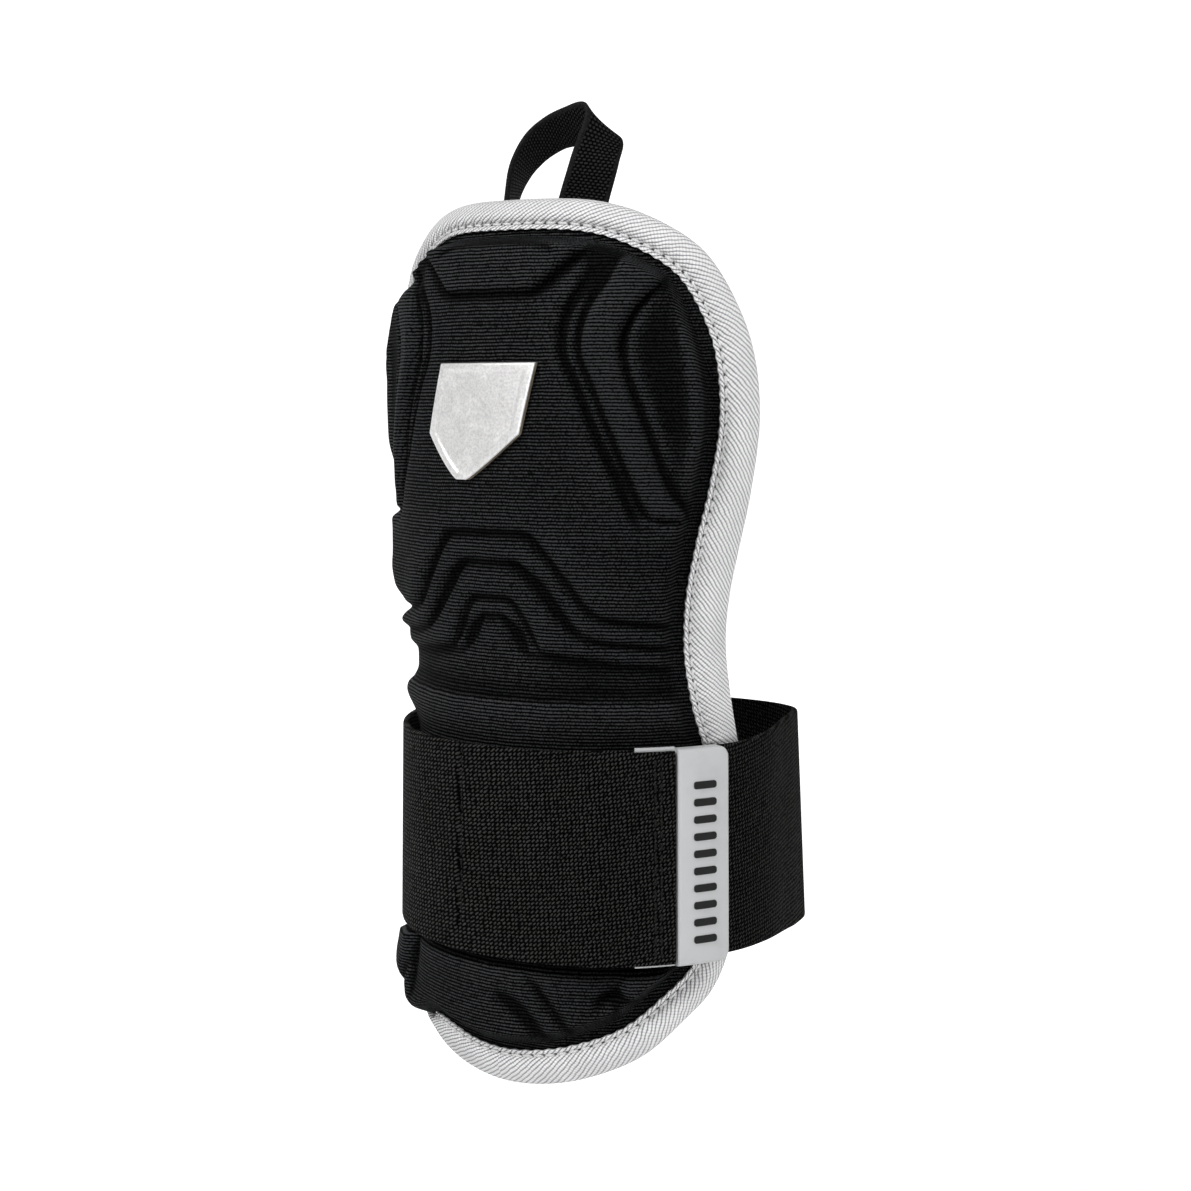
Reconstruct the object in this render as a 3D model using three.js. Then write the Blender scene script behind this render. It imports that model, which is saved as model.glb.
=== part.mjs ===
import * as THREE from 'three';

// A padded guard for the back of a batter's hand and wrist.
// Sizes are millimetres. +Z runs towards the fingers, the outside of the pad faces -Y,
// and the origin lies on the axis of the wrist, level with the middle of the strap.

const FINISH = {
  knit: { color: 0x17171a, roughness: 0.9, metalness: 0 },
  tape: { color: 0xd2d2d6, roughness: 0.8, metalness: 0 },
  elastic: { color: 0x1d1b1a, roughness: 0.9, metalness: 0 },
  rubber: { color: 0xb4b4b8, roughness: 0.55, metalness: 0 },
  silver: { color: 0xc4c4c6, roughness: 0.35, metalness: 0.9 },
};

// The face against the hand, from wrist to knuckles: its middle line and how it curves across.
const INSIDE = [
  { z: -58, frontY: -34, radius: 46 },
  { z: -42, frontY: -36.4, radius: 44.2 },
  { z: -24, frontY: -37, radius: 38.4 },
  { z: 0, frontY: -37, radius: 37 },
  { z: 24, frontY: -37, radius: 37 },
  { z: 36, frontY: -37, radius: 39.5 },
  { z: 48, frontY: -37, radius: 41 },
  { z: 60, frontY: -37, radius: 45 },
  { z: 72, frontY: -36.8, radius: 48.6 },
  { z: 97, frontY: -36.5, radius: 51 },
  { z: 120, frontY: -35, radius: 53.5 },
  { z: 148, frontY: -29.5, radius: 54 },
];

// Half of the pad's cut edge, measured along the inside face, from the wrist end to the top.
const EDGE = [
  { across: 0, z: -55.5 },
  { across: 12, z: -54.1 },
  { across: 21.5, z: -51.2 },
  { across: 32.2, z: -46.3 },
  { across: 41.4, z: -39.4, corner: true },
  { across: 48.2, z: -32.2 },
  { across: 52.6, z: -23.5 },
  { across: 55.3, z: -12 },
  { across: 56.2, z: 5 },
  { across: 55.6, z: 20 },
  { across: 52.7, z: 34 },
  { across: 51.2, z: 46 },
  { across: 51.6, z: 56 },
  { across: 53.1, z: 67 },
  { across: 55.3, z: 81 },
  { across: 56.5, z: 96.5 },
  { across: 54.7, z: 108.5 },
  { across: 50.5, z: 119.8 },
  { across: 42.3, z: 132.2, corner: true },
  { across: 31.3, z: 139.6 },
  { across: 19.7, z: 143.3 },
  { across: 0, z: 144.5 },
];

const PAD = {
  rim: 3.2,
  rimSlope: 0.08,
  plateau: 9,
  shoulderFrom: 2,
  shoulder: 3.8,
  facetsAcross: 40,
  facetsAlong: 72,
};

// The raised bar below the top edge, with slanted ends.
const TOP_BAR = { low: 124.8, high: 136.5, halfLow: 12, flare: 0.3, rise: 1.8, soft: 2.6 };

// Lines of the moulded side panels: trough, step up to the band, seam, and outer ridge.
const FLANK = [
  { z: 74, trough: 30.5, band: 34.2, seam: 41.5, ridge: 43 },
  { z: 81, trough: 27.5, band: 31.2, seam: 38.2, ridge: 43.6 },
  { z: 92, trough: 24.3, band: 27.6, seam: 34.8, ridge: 44 },
  { z: 103, trough: 20.6, band: 24.5, seam: 31.5, ridge: 43.4 },
  { z: 113, trough: 17, band: 21.2, seam: 29, ridge: 41.6 },
  { z: 120, trough: 17.3, band: 22.2, seam: 31.8, ridge: 39.6 },
  { z: 127, trough: 18.3, band: 24.6, seam: 36.4, ridge: 37 },
  { z: 134, trough: 19.2, band: 27, seam: 37, ridge: 37.5 },
];
const FLANK_RELIEF = {
  low: 75, high: 134, soft: 3.6, edge: 3.6, line: 2.2,
  trough: 2.2, band: 3.4, seam: 1.3, ridge: 1.2, fall: 0.8,
};

// Arched steps that go down from the hand plateau to the bend of the wrist.
const ARCH_STEPS = [
  { crest: 71.6, crestHalf: 11.5, foot: 54.3, footHalf: 21.6, drop: 1.5, soft: 3.4 },
  { crest: 65.6, crestHalf: 9.2, foot: 49.5, footHalf: 20.4, drop: 1.6, soft: 3.8 },
  { crest: 57.2, crestHalf: 7.2, foot: 46.5, footHalf: 13.8, drop: 1.3, soft: 3.4 },
  { crest: 52.6, crestHalf: 5.6, foot: 45.2, footHalf: 11, drop: 1.3, soft: 3.8 },
];
const ARCH_SIDES = { fall: 0.12, from: 24, shallow: 0.45, soft: 12 };

// The wrist block under the strap, the bar that closes it, and the panel at the wrist end.
const WRIST = { top: 35.4, level: 7.2, barLow: 28, barRise: 0.6, soft: 2.6 };
const WRIST_PANEL = { top: -27.4, rise: 1.4, lobeFrom: 27, lobeRise: 2.2, soft: 2.8 };
const WRIST_NOTCH = { across: 25.5, z: -32.5, halfAcross: 2.6, halfAlong: 4.6, depth: 2.4 };
const WRIST_FOLD = { across: 3, z: -30, run: 13, fall: 13.5, half: 2.6, depth: 1.7 };

const GAP = 0.4;
const TAPE = { thick: 1.2, puff: 0.25 };

// How far the tape reaches in from the pad's edge, from the wrist end to the top.
const TAPE_REACH = [
  { z: -56, reach: 7.6 },
  { z: -40, reach: 6.8 },
  { z: -26, reach: 7.2 },
  { z: 46, reach: 9.6 },
  { z: 97, reach: 8.8 },
  { z: 125, reach: 7.6 },
  { z: 145, reach: 7 },
];

// The finger loop's middle line and the lie of its width, from the right foot to the left.
const LOOP = { width: 10.4, thick: 1.2, steps: 30 };
const LOOP_PATH = [
  { x: 11.2, y: -32.2, z: 121, yaw: 12, pitch: 0 },
  { x: 11.8, y: -26.7, z: 137, yaw: 18, pitch: -3 },
  { x: 13.1, y: -23.7, z: 146, yaw: 42, pitch: -7 },
  { x: 15.9, y: -23.6, z: 154.2, yaw: 52, pitch: -5 },
  { x: 16.2, y: -21.7, z: 159.4, yaw: 77, pitch: -24 },
  { x: 11.1, y: -21.3, z: 162.5, yaw: 102, pitch: -48 },
  { x: 5.8, y: -20, z: 162.7, yaw: 104, pitch: -41 },
  { x: 1, y: -19.4, z: 161.8, yaw: 103, pitch: -34 },
  { x: -4.3, y: -19.9, z: 158.8, yaw: 105, pitch: -29 },
  { x: -7.9, y: -20.6, z: 154.2, yaw: 106, pitch: -12 },
  { x: -9.3, y: -22, z: 147.9, yaw: 113, pitch: 4 },
  { x: -9.6, y: -23.7, z: 141, yaw: 124, pitch: 2 },
  { x: -10.1, y: -26.7, z: 133, yaw: 146, pitch: 0 },
  { x: -10.8, y: -32.3, z: 120, yaw: 169, pitch: 0 },
];

// The strap seen from above: it starts on the right of the pad, goes round behind the wrist,
// crosses the front and ends on itself. Turn is measured from the front towards +X.
const STRAP = { half: 24, thick: 1.5, flare: 0.7, steps: 66 };
const STRAP_PATH = [
  { turn: 26, radius: 45.3, lift: 0, flare: 0.7 },
  { turn: 62, radius: 45.3, lift: 0, flare: 0.7 },
  { turn: 78, radius: 45.6, lift: 0, flare: 0.7 },
  { turn: 90, radius: 45.4, lift: 0.3, flare: 0.9 },
  { turn: 105, radius: 44.8, lift: 0.7, flare: 1.4 },
  { turn: 117, radius: 46.8, lift: 1, flare: 1.8 },
  { turn: 125, radius: 47.8, lift: 1.2, flare: 2.0 },
  { turn: 133, radius: 45.8, lift: 1.4, flare: 2.3 },
  { turn: 150, radius: 39, lift: 2, flare: 2.3 },
  { turn: 180, radius: 34, lift: 2.3, flare: 2.3 },
  { turn: 210, radius: 39, lift: 2, flare: 2.3 },
  { turn: 227, radius: 47, lift: 1.6, flare: 2.3 },
  { turn: 235, radius: 48.6, lift: 1.4, flare: 2.0 },
  { turn: 245, radius: 47.6, lift: 1.1, flare: 1.7 },
  { turn: 270, radius: 46, lift: 0.7, flare: 0.9 },
  { turn: 290, radius: 46.2, lift: 0.5, flare: 0.7 },
  { turn: 330, radius: 46.2, lift: 0.1, flare: 0.7 },
  { turn: 362, radius: 46.2, lift: 0, flare: 0.7 },
  { turn: 384, radius: 47.2, lift: 0, flare: 0.7 },
  { turn: 396, radius: 48.1, lift: 0, flare: 0.7 },
  { turn: 415.6, radius: 48.1, lift: 0, flare: 0.7 },
];

// The moulded end of the strap: a plate with a thin tongue that runs in behind the strap's end.
const TAB = {
  tongueFrom: 45, plateFrom: 56.2, plateTo: 71.4,
  back: 46.4, tongueFront: 46.9, plateFront: 49.4,
  halfTongue: 24.7, halfPlate: 24.4, corner: 2.6, columns: 8,
};

// A plain slanted shield that stands on the hand plateau.
const BADGE = {
  across: -1.2, z: 96.6, half: 11, tipHalf: 1.2, top: 12.6, shoulder: -3, tip: -13.2,
  slant: 0.2, thick: 1.3, rows: 8, columns: 6,
};

const radians = THREE.MathUtils.degToRad;
const rise = (x, width) => THREE.MathUtils.smoothstep(x, -width / 2, width / 2);
const ridge = (x, width) => Math.exp(-((x / width) ** 2));

// A smooth curve through one column of a table that doesn't overshoot its rows.
function through(rows, along, column) {
  const at = rows.map((row) => row[along]);
  const value = rows.map((row) => row[column]);
  const last = rows.length - 1;
  const slope = (i) => (value[i + 1] - value[i]) / (at[i + 1] - at[i]);
  const tangent = value.map((_, i) => {
    const before = slope(Math.max(i - 1, 0));
    const after = slope(Math.min(i, last - 1));
    return before * after <= 0 ? 0 : (2 * before * after) / (before + after);
  });
  return (x) => {
    const held = THREE.MathUtils.clamp(x, at[0], at[last]);
    const i = at.findIndex((_, k) => k === last - 1 || held <= at[k + 1]);
    const span = at[i + 1] - at[i];
    const u = (held - at[i]) / span;
    const ease = u * u * (3 - 2 * u);
    const lean = span * (tangent[i] * u * (1 - u) ** 2 - tangent[i + 1] * u * u * (1 - u));
    return value[i] + (value[i + 1] - value[i]) * ease + lean;
  };
}

const insideFront = through(INSIDE, 'z', 'frontY');
const insideRadius = through(INSIDE, 'z', 'radius');
const tapeReach = through(TAPE_REACH, 'z', 'reach');
const flankLine = {
  trough: through(FLANK, 'z', 'trough'),
  band: through(FLANK, 'z', 'band'),
  seam: through(FLANK, 'z', 'seam'),
  ridge: through(FLANK, 'z', 'ridge'),
};

// A point at a height above the inside face, by its distance across the face and its level.
function padPoint(across, z, height) {
  const radius = insideRadius(z);
  const turn = across / radius;
  const out = radius + height;
  return new THREE.Vector3(out * Math.sin(turn), insideFront(z) + radius - out * Math.cos(turn), z);
}

function edgeCurve() {
  const right = EDGE.map((row) => new THREE.Vector3(row.across, row.z, 0));
  const left = EDGE.slice(1, -1).reverse().map((row) => new THREE.Vector3(-row.across, row.z, 0));
  const curve = new THREE.CatmullRomCurve3([...right, ...left], true, 'centripetal');
  curve.arcLengthDivisions = 1600;
  return curve;
}

// How far along the edge curve each marked corner lies, as a share of its length.
function cornerShares(curve) {
  const samples = curve.getSpacedPoints(1600);
  return EDGE.filter((row) => row.corner).map((row) => {
    const corner = new THREE.Vector3(row.across, row.z, 0);
    const away = samples.map((point) => point.distanceTo(corner));
    return away.indexOf(Math.min(...away)) / 1600;
  });
}

// The pad's flat pattern as a grid of (across, z) points that fills the edge curve.
function padPattern() {
  const curve = edgeCurve();
  const [low, high] = cornerShares(curve);
  const side = (from, to, count) => Array.from({ length: count + 1 }, (_, k) => {
    const share = from + ((to - from) * k) / count;
    return curve.getPointAt((share + 1) % 1);
  });
  const bottom = side(-low, low, PAD.facetsAcross);
  const right = side(low, high, PAD.facetsAlong);
  const top = side(1 - high, high, PAD.facetsAcross);
  const left = side(1 - low, 1 - high, PAD.facetsAlong);
  const blend = (a, b, t) => a.clone().lerp(b, t);
  return right.map((_, j) => bottom.map((_, i) => {
    const u = i / PAD.facetsAcross;
    const v = j / PAD.facetsAlong;
    const sides = blend(left[j], right[j], u).add(blend(bottom[i], top[i], v));
    const corners = blend(blend(left[0], right[0], u), blend(left.at(-1), right.at(-1), u), v);
    return sides.sub(corners);
  }));
}

// The points round the border of a grid, in one turn.
function borderOf(grid) {
  const rows = grid.length - 1;
  const columns = grid[0].length - 1;
  return [
    ...grid[0].slice(0, columns),
    ...grid.slice(0, rows).map((row) => row[columns]),
    ...grid[rows].slice(1).reverse(),
    ...grid.slice(1).reverse().map((row) => row[0]),
  ];
}

function edgeDistance(point, border) {
  let nearest = Infinity;
  const closest = new THREE.Vector3();
  border.forEach((start, k) => {
    const stretch = new THREE.Line3(start, border[(k + 1) % border.length]);
    stretch.closestPointToPoint(point, true, closest);
    nearest = Math.min(nearest, closest.distanceTo(point));
  });
  return nearest;
}

function topBar(side, z) {
  const half = TOP_BAR.halfLow + (z - TOP_BAR.low) * TOP_BAR.flare;
  const along = rise(z - TOP_BAR.low, TOP_BAR.soft) * rise(TOP_BAR.high - z, TOP_BAR.soft);
  return TOP_BAR.rise * along * rise(half - side, TOP_BAR.soft);
}

function flankPanels(side, z) {
  const part = FLANK_RELIEF;
  const along = rise(z - part.low, part.soft) * rise(part.high - z, part.soft);
  const trough = -part.trough * rise(side - flankLine.trough(z), part.edge);
  const band = part.band * rise(side - flankLine.band(z), part.edge);
  const seam = -part.seam * ridge(side - flankLine.seam(z), part.line);
  const outer = part.ridge * ridge(side - flankLine.ridge(z), part.line);
  const fall = -part.fall * rise(side - flankLine.seam(z) - part.line, part.edge);
  return along * (trough + band + seam + outer + fall);
}

function archLine(step, side) {
  const slope = (step.crest - step.foot) / (step.footHalf - step.crestHalf);
  const slanted = step.crest - slope * Math.max(side - step.crestHalf, 0);
  const tail = step.foot - ARCH_SIDES.fall * Math.max(side - step.footHalf, 0);
  return side < step.footHalf ? slanted : tail;
}

function archSteps(side, z) {
  const down = ARCH_STEPS.reduce((sum, step) => {
    return sum + step.drop * rise(archLine(step, side) - z, step.soft);
  }, 0);
  return -down * (1 - ARCH_SIDES.shallow * rise(side - ARCH_SIDES.from, ARCH_SIDES.soft));
}

function wristRelief(across, z) {
  const side = Math.abs(across);
  const bar = WRIST.barRise * rise(z - WRIST.barLow, WRIST.soft);
  const lobe = WRIST_PANEL.lobeRise * rise(side - WRIST_PANEL.lobeFrom, WRIST_PANEL.soft);
  const panel = (WRIST_PANEL.rise + lobe) * rise(WRIST_PANEL.top - z, WRIST_PANEL.soft);
  const notch = ridge(side - WRIST_NOTCH.across, WRIST_NOTCH.halfAcross)
    * ridge(z - WRIST_NOTCH.z, WRIST_NOTCH.halfAlong);
  const length = Math.hypot(WRIST_FOLD.run, WRIST_FOLD.fall);
  const from = { across: across - WRIST_FOLD.across, z: WRIST_FOLD.z - z };
  const along = (from.across * WRIST_FOLD.run + from.z * WRIST_FOLD.fall) / length;
  const beside = (from.across * WRIST_FOLD.fall - from.z * WRIST_FOLD.run) / length;
  const fold = ridge(beside, WRIST_FOLD.half) * rise(along, 5) * rise(length - along, 5);
  return bar + panel - WRIST_NOTCH.depth * notch - WRIST_FOLD.depth * fold;
}

const rimHeight = (inward) => PAD.rim + PAD.rimSlope * inward;

// The height of the pad's outside above its inside face.
function padHeight(across, z, inward) {
  const side = Math.abs(across);
  const hand = PAD.plateau + topBar(side, z) + flankPanels(side, z) + archSteps(side, z);
  const wrist = WRIST.level + wristRelief(across, z);
  const full = THREE.MathUtils.lerp(hand, wrist, rise(WRIST.top - z, WRIST.soft));
  const body = rise(inward - tapeReach(z) - PAD.shoulderFrom - PAD.shoulder / 2, PAD.shoulder);
  const rim = rimHeight(inward);
  return rim + (full - rim) * body;
}

// A named closed solid, its faces turned outwards.
function solid(name, finish, points, faces) {
  const corner = (i) => points[i];
  const volume = faces.reduce((sum, [a, b, c]) => {
    return sum + corner(a).dot(new THREE.Vector3().crossVectors(corner(b), corner(c)));
  }, 0);
  const outward = volume > 0 ? faces : faces.map(([a, b, c]) => [a, c, b]);
  const geometry = new THREE.BufferGeometry().setFromPoints(points);
  geometry.setIndex(outward.flat());
  geometry.computeVertexNormals();
  const mesh = new THREE.Mesh(geometry, new THREE.MeshStandardMaterial(FINISH[finish]));
  mesh.name = name;
  return mesh;
}

const quad = (a, b, c, d) => [[a, b, c], [a, c, d]];

// A solid between two grids of the same size: an outer face, an inner face and the walls between.
function slab(name, finish, outer, inner) {
  const rows = outer.length;
  const columns = outer[0].length;
  const points = [...outer.flat(), ...inner.flat()];
  const front = outer.map((row, j) => row.map((_, i) => j * columns + i));
  const back = front.map((row) => row.map((i) => i + rows * columns));
  const faces = [];
  for (let j = 0; j < rows - 1; j += 1) {
    for (let i = 0; i < columns - 1; i += 1) {
      faces.push(...quad(front[j][i], front[j][i + 1], front[j + 1][i + 1], front[j + 1][i]));
      faces.push(...quad(back[j][i], back[j + 1][i], back[j + 1][i + 1], back[j][i + 1]));
    }
  }
  const near = borderOf(front);
  const far = borderOf(back);
  near.forEach((_, k) => {
    const next = (k + 1) % near.length;
    faces.push(...quad(near[k], far[k], far[next], near[next]));
  });
  return solid(name, finish, points, faces);
}

// The moulded pad: a finely faceted outside over a plainer inside, closed by the cut edge.
function mouldedPad(pattern) {
  const border = borderOf(pattern);
  const points = [];
  const place = (across, z, height) => points.push(padPoint(across, z, height)) - 1;
  const front = pattern.map((row) => row.map((spot) => {
    return place(spot.x, spot.y, padHeight(spot.x, spot.y, edgeDistance(spot, border)));
  }));
  const everyOther = (_, k) => k % 2 === 0;
  const plain = pattern.filter(everyOther).map((row) => row.filter(everyOther));
  const back = plain.map((row) => row.map((spot) => place(spot.x, spot.y, 0)));
  const faces = [];
  for (let j = 0; j < front.length - 1; j += 1) {
    for (let i = 0; i < front[j].length - 1; i += 1) {
      faces.push(...quad(front[j][i], front[j][i + 1], front[j + 1][i + 1], front[j + 1][i]));
    }
  }
  for (let j = 0; j < back.length - 1; j += 1) {
    for (let i = 0; i < back[j].length - 1; i += 1) {
      faces.push(...quad(back[j][i], back[j + 1][i], back[j + 1][i + 1], back[j][i + 1]));
    }
  }
  const outer = borderOf(front);
  const inner = borderOf(back);
  inner.forEach((_, k) => {
    const next = (k + 1) % inner.length;
    const [start, middle, end] = [0, 1, 2].map((step) => outer[(2 * k + step) % outer.length]);
    faces.push([middle, start, inner[k]], [middle, inner[k], inner[next]], [end, middle, inner[next]]);
  });
  return solid('moulded_pad', 'knit', points, faces);
}

// The tape's section as pairs of inward distance and height, once round from the front lip.
function tapeSection(reach) {
  const lip = rimHeight(reach) + GAP;
  const nose = GAP + TAPE.thick;
  return [
    [reach, lip + TAPE.thick],
    [reach / 2, rimHeight(reach / 2) + nose + TAPE.puff],
    [-0.5, PAD.rim + nose - 0.3],
    [-nose, PAD.rim * 0.75],
    [-nose, PAD.rim * 0.25],
    [-0.5, 0.3 - nose],
    [reach, -nose],
    [reach, -GAP],
    [-GAP, -GAP],
    [-GAP, PAD.rim + GAP],
    [reach / 2, rimHeight(reach / 2) + GAP],
    [reach, lip],
  ];
}

// The tape folded over the pad's cut edge, all the way round.
function edgeBinding(pattern) {
  const border = borderOf(pattern);
  const stations = border.filter((_, k) => k % 2 === 0);
  const points = [];
  stations.forEach((spot, k) => {
    const before = border[(2 * k - 1 + border.length) % border.length];
    const after = border[(2 * k + 1) % border.length];
    const run = after.clone().sub(before).normalize();
    tapeSection(tapeReach(spot.y)).forEach(([inward, height]) => {
      points.push(padPoint(spot.x - run.y * inward, spot.y + run.x * inward, height));
    });
  });
  const turns = points.length / stations.length;
  const faces = [];
  stations.forEach((_, k) => {
    const here = k * turns;
    const next = ((k + 1) % stations.length) * turns;
    for (let i = 0; i < turns; i += 1) {
      const j = (i + 1) % turns;
      faces.push(...quad(here + i, next + i, next + j, here + j));
    }
  });
  return solid('edge_binding', 'tape', points, faces);
}

// The elastic loop for a finger: a strip whose feet lie flat behind the top of the pad.
function fingerLoop() {
  const rows = LOOP_PATH.map((row, k) => ({ ...row, k }));
  const [yaw, pitch] = ['yaw', 'pitch'].map((column) => through(rows, 'k', column));
  const middle = new THREE.CatmullRomCurve3(rows.map((row) => new THREE.Vector3(row.x, row.y, row.z)));
  const outer = [];
  const inner = [];
  for (let k = 0; k <= LOOP.steps; k += 1) {
    const t = k / LOOP.steps;
    const station = t * (rows.length - 1);
    const turn = radians(yaw(station));
    const tilt = radians(pitch(station));
    const across = new THREE.Vector3(Math.cos(turn) * Math.cos(tilt), Math.sin(turn) * Math.cos(tilt), Math.sin(tilt));
    const out = middle.getTangent(t).cross(across).normalize();
    const spot = (side, depth) => middle.getPoint(t)
      .addScaledVector(across, (side * LOOP.width) / 2)
      .addScaledVector(out, (depth * LOOP.thick) / 2);
    outer.push([spot(-1, 1), spot(1, 1)]);
    inner.push([spot(-1, -1), spot(1, -1)]);
  }
  return slab('finger_loop', 'elastic', outer, inner);
}

function aroundWrist(turn, radius, z) {
  return new THREE.Vector3(radius * Math.sin(radians(turn)), -radius * Math.cos(radians(turn)), z);
}

// The wide elastic strap, one strip from its sewn end to its fastened end.
function wristStrap() {
  const radius = through(STRAP_PATH, 'turn', 'radius');
  const lift = through(STRAP_PATH, 'turn', 'lift');
  const flare = through(STRAP_PATH, 'turn', 'flare');
  const [first, last] = [STRAP_PATH[0].turn, STRAP_PATH.at(-1).turn];
  const outer = [];
  const inner = [];
  for (let k = 0; k <= STRAP.steps; k += 1) {
    const turn = first + ((last - first) * k) / STRAP.steps;
    const ahead = aroundWrist(turn + 0.5, radius(turn + 0.5), 0);
    const run = ahead.sub(aroundWrist(turn - 0.5, radius(turn - 0.5), 0)).normalize();
    const out = new THREE.Vector3(run.y, -run.x, 0);
    const spot = (end, depth) => {
      const grown = radius(turn) + (end < 0 ? flare(turn) : 0);
      return aroundWrist(turn, grown, end * STRAP.half + lift(turn)).addScaledVector(out, (depth * STRAP.thick) / 2);
    };
    outer.push([spot(-1, 1), spot(1, 1)]);
    inner.push([spot(-1, -1), spot(1, -1)]);
  }
  return slab('wrist_strap', 'elastic', outer, inner);
}

// The rubber end of the strap, bent round the wrist with it.
function strapTab() {
  const perDegree = radians(1) * TAB.plateFront;
  const cornerFrom = TAB.plateTo - TAB.corner / perDegree;
  const columns = [
    { turn: TAB.tongueFrom, front: TAB.tongueFront, half: TAB.halfTongue },
    { turn: (TAB.tongueFrom + TAB.plateFrom) / 2, front: TAB.tongueFront, half: TAB.halfTongue },
    { turn: TAB.plateFrom, front: TAB.tongueFront, half: TAB.halfTongue },
  ];
  for (let k = 0; k <= TAB.columns; k += 1) {
    const turn = TAB.plateFrom + 0.1 + ((cornerFrom - TAB.plateFrom - 0.1) * k) / TAB.columns;
    columns.push({ turn, front: TAB.plateFront, half: TAB.halfPlate });
  }
  for (let k = 1; k <= 4; k += 1) {
    const swing = radians(22.5 * k);
    const turn = cornerFrom + ((TAB.plateTo - cornerFrom) * Math.sin(swing));
    columns.push({ turn, front: TAB.plateFront, half: TAB.halfPlate - TAB.corner * (1 - Math.cos(swing)) });
  }
  const face = (radiusOf) => columns.map((column) => [-1, 1].map((end) => {
    return aroundWrist(column.turn, radiusOf(column) + (end < 0 ? STRAP.flare : 0), end * column.half);
  }));
  return slab('strap_tab', 'rubber', face((column) => column.front), face(() => TAB.back));
}

// The badge, bent to the plateau that it stands on.
function badge() {
  const face = (height) => Array.from({ length: BADGE.rows + 1 }, (_, j) => {
    const level = BADGE.tip + ((BADGE.top - BADGE.tip) * j) / BADGE.rows;
    const spread = Math.min((level - BADGE.tip) / (BADGE.shoulder - BADGE.tip), 1);
    const half = BADGE.tipHalf + (BADGE.half - BADGE.tipHalf) * spread;
    return Array.from({ length: BADGE.columns + 1 }, (_, i) => {
      const across = BADGE.across + BADGE.slant * level + half * ((2 * i) / BADGE.columns - 1);
      return padPoint(across, BADGE.z + level, height);
    });
  });
  const foot = PAD.plateau + GAP;
  return slab('badge', 'silver', face(foot + BADGE.thick), face(foot));
}

function handProtector() {
  const pattern = padPattern();
  const group = new THREE.Group();
  group.name = 'batting_hand_protector';
  group.add(mouldedPad(pattern), edgeBinding(pattern), fingerLoop(), wristStrap(), strapTab(), badge());
  return group;
}

export default handProtector();
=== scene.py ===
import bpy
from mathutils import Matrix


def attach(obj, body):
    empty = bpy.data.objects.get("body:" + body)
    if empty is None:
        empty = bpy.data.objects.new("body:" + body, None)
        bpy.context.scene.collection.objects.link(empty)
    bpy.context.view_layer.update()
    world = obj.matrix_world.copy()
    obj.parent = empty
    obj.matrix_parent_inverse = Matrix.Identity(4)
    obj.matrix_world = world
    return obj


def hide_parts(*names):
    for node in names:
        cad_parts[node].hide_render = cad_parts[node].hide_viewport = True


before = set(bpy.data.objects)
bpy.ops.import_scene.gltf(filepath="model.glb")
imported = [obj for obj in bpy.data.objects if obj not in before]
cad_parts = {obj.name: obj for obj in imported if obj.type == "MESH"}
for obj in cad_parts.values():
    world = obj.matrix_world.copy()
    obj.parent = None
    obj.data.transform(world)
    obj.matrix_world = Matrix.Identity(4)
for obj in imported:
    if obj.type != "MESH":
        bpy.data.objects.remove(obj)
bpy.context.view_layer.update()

from types import SimpleNamespace as Sizes

import bmesh
import bpy
import numpy as np
from mathutils import Vector

# A padded guard for the back of a batter's hand and wrist.
# Tables and sizes are millimetres and degrees, in the frame of the solids: +Z runs to the fingers,
# the outside of the pad faces -Y. A mesh turns them into metres. The far side is the pad's left.
MM = 0.001
BODY = "root"
# Points of a piece closer than this are joined.
WELD = 0.002


def table(columns, *rows):
    """The columns of a short table, by name."""
    return dict(zip(columns.split(), np.array(rows, float).T))


def pressed_line(*rows):
    """The places that a pressed line goes through, with its depth and half its width there."""
    return table("across z depth half", *rows)


# The face against the hand, from wrist to knuckles: its middle line and how it curves across.
INSIDE = table(
    "z front radius",
    (-58, -34, 46),
    (-42, -36.4, 44.2),
    (-24, -37, 38.4),
    (0, -37, 37),
    (24, -37, 37),
    (36, -37, 39.5),
    (48, -37, 41),
    (60, -37, 45),
    (72, -36.8, 48.6),
    (97, -36.5, 51),
    (120, -35, 53.5),
    (148, -29.5, 54),
)

# Half of the pad's cut edge, measured along the inside face, from the wrist end to the top.
EDGE = table(
    "across z",
    (0, -55),
    (12, -53.6),
    (21.3, -50.8),
    (31.8, -45.8),
    (40.6, -38.4),
    (47.8, -31.9),
    (52.6, -23.5),
    (55.3, -12),
    (56.2, 5),
    (55.6, 20),
    (51.9, 34),
    (50.2, 46),
    (50.6, 56),
    (52.5, 67),
    (55.4, 81),
    (57.2, 96.5),
    (55.9, 108.5),
    (51.8, 119.8),
    (42.9, 132.4),
    (31.3, 139.6),
    (19.7, 143.3),
    (0, 144.5),
)
# The rows of that table where the pad's grid has its corners.
LOW_CORNER, HIGH_CORNER = 4, 18
EDGE_SAMPLES = 40

# The pad's heights above the inside face, its rounded shoulder by the tape, and the cells of its grid.
PAD = Sizes(
    rim=3.2, slope=0.08, plateau=9, shoulder_from=2, shoulder=3.8, across=204, along=372,
    top_from=122, top_soft=14, top_less=1.2,
)

# The raised bar below the top edge, with slanted ends.
TOP_BAR = Sizes(low=124.8, high=136.3, half=10.6, flare=0.9, rise=1.5, soft=2.4, end=4.2)

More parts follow.
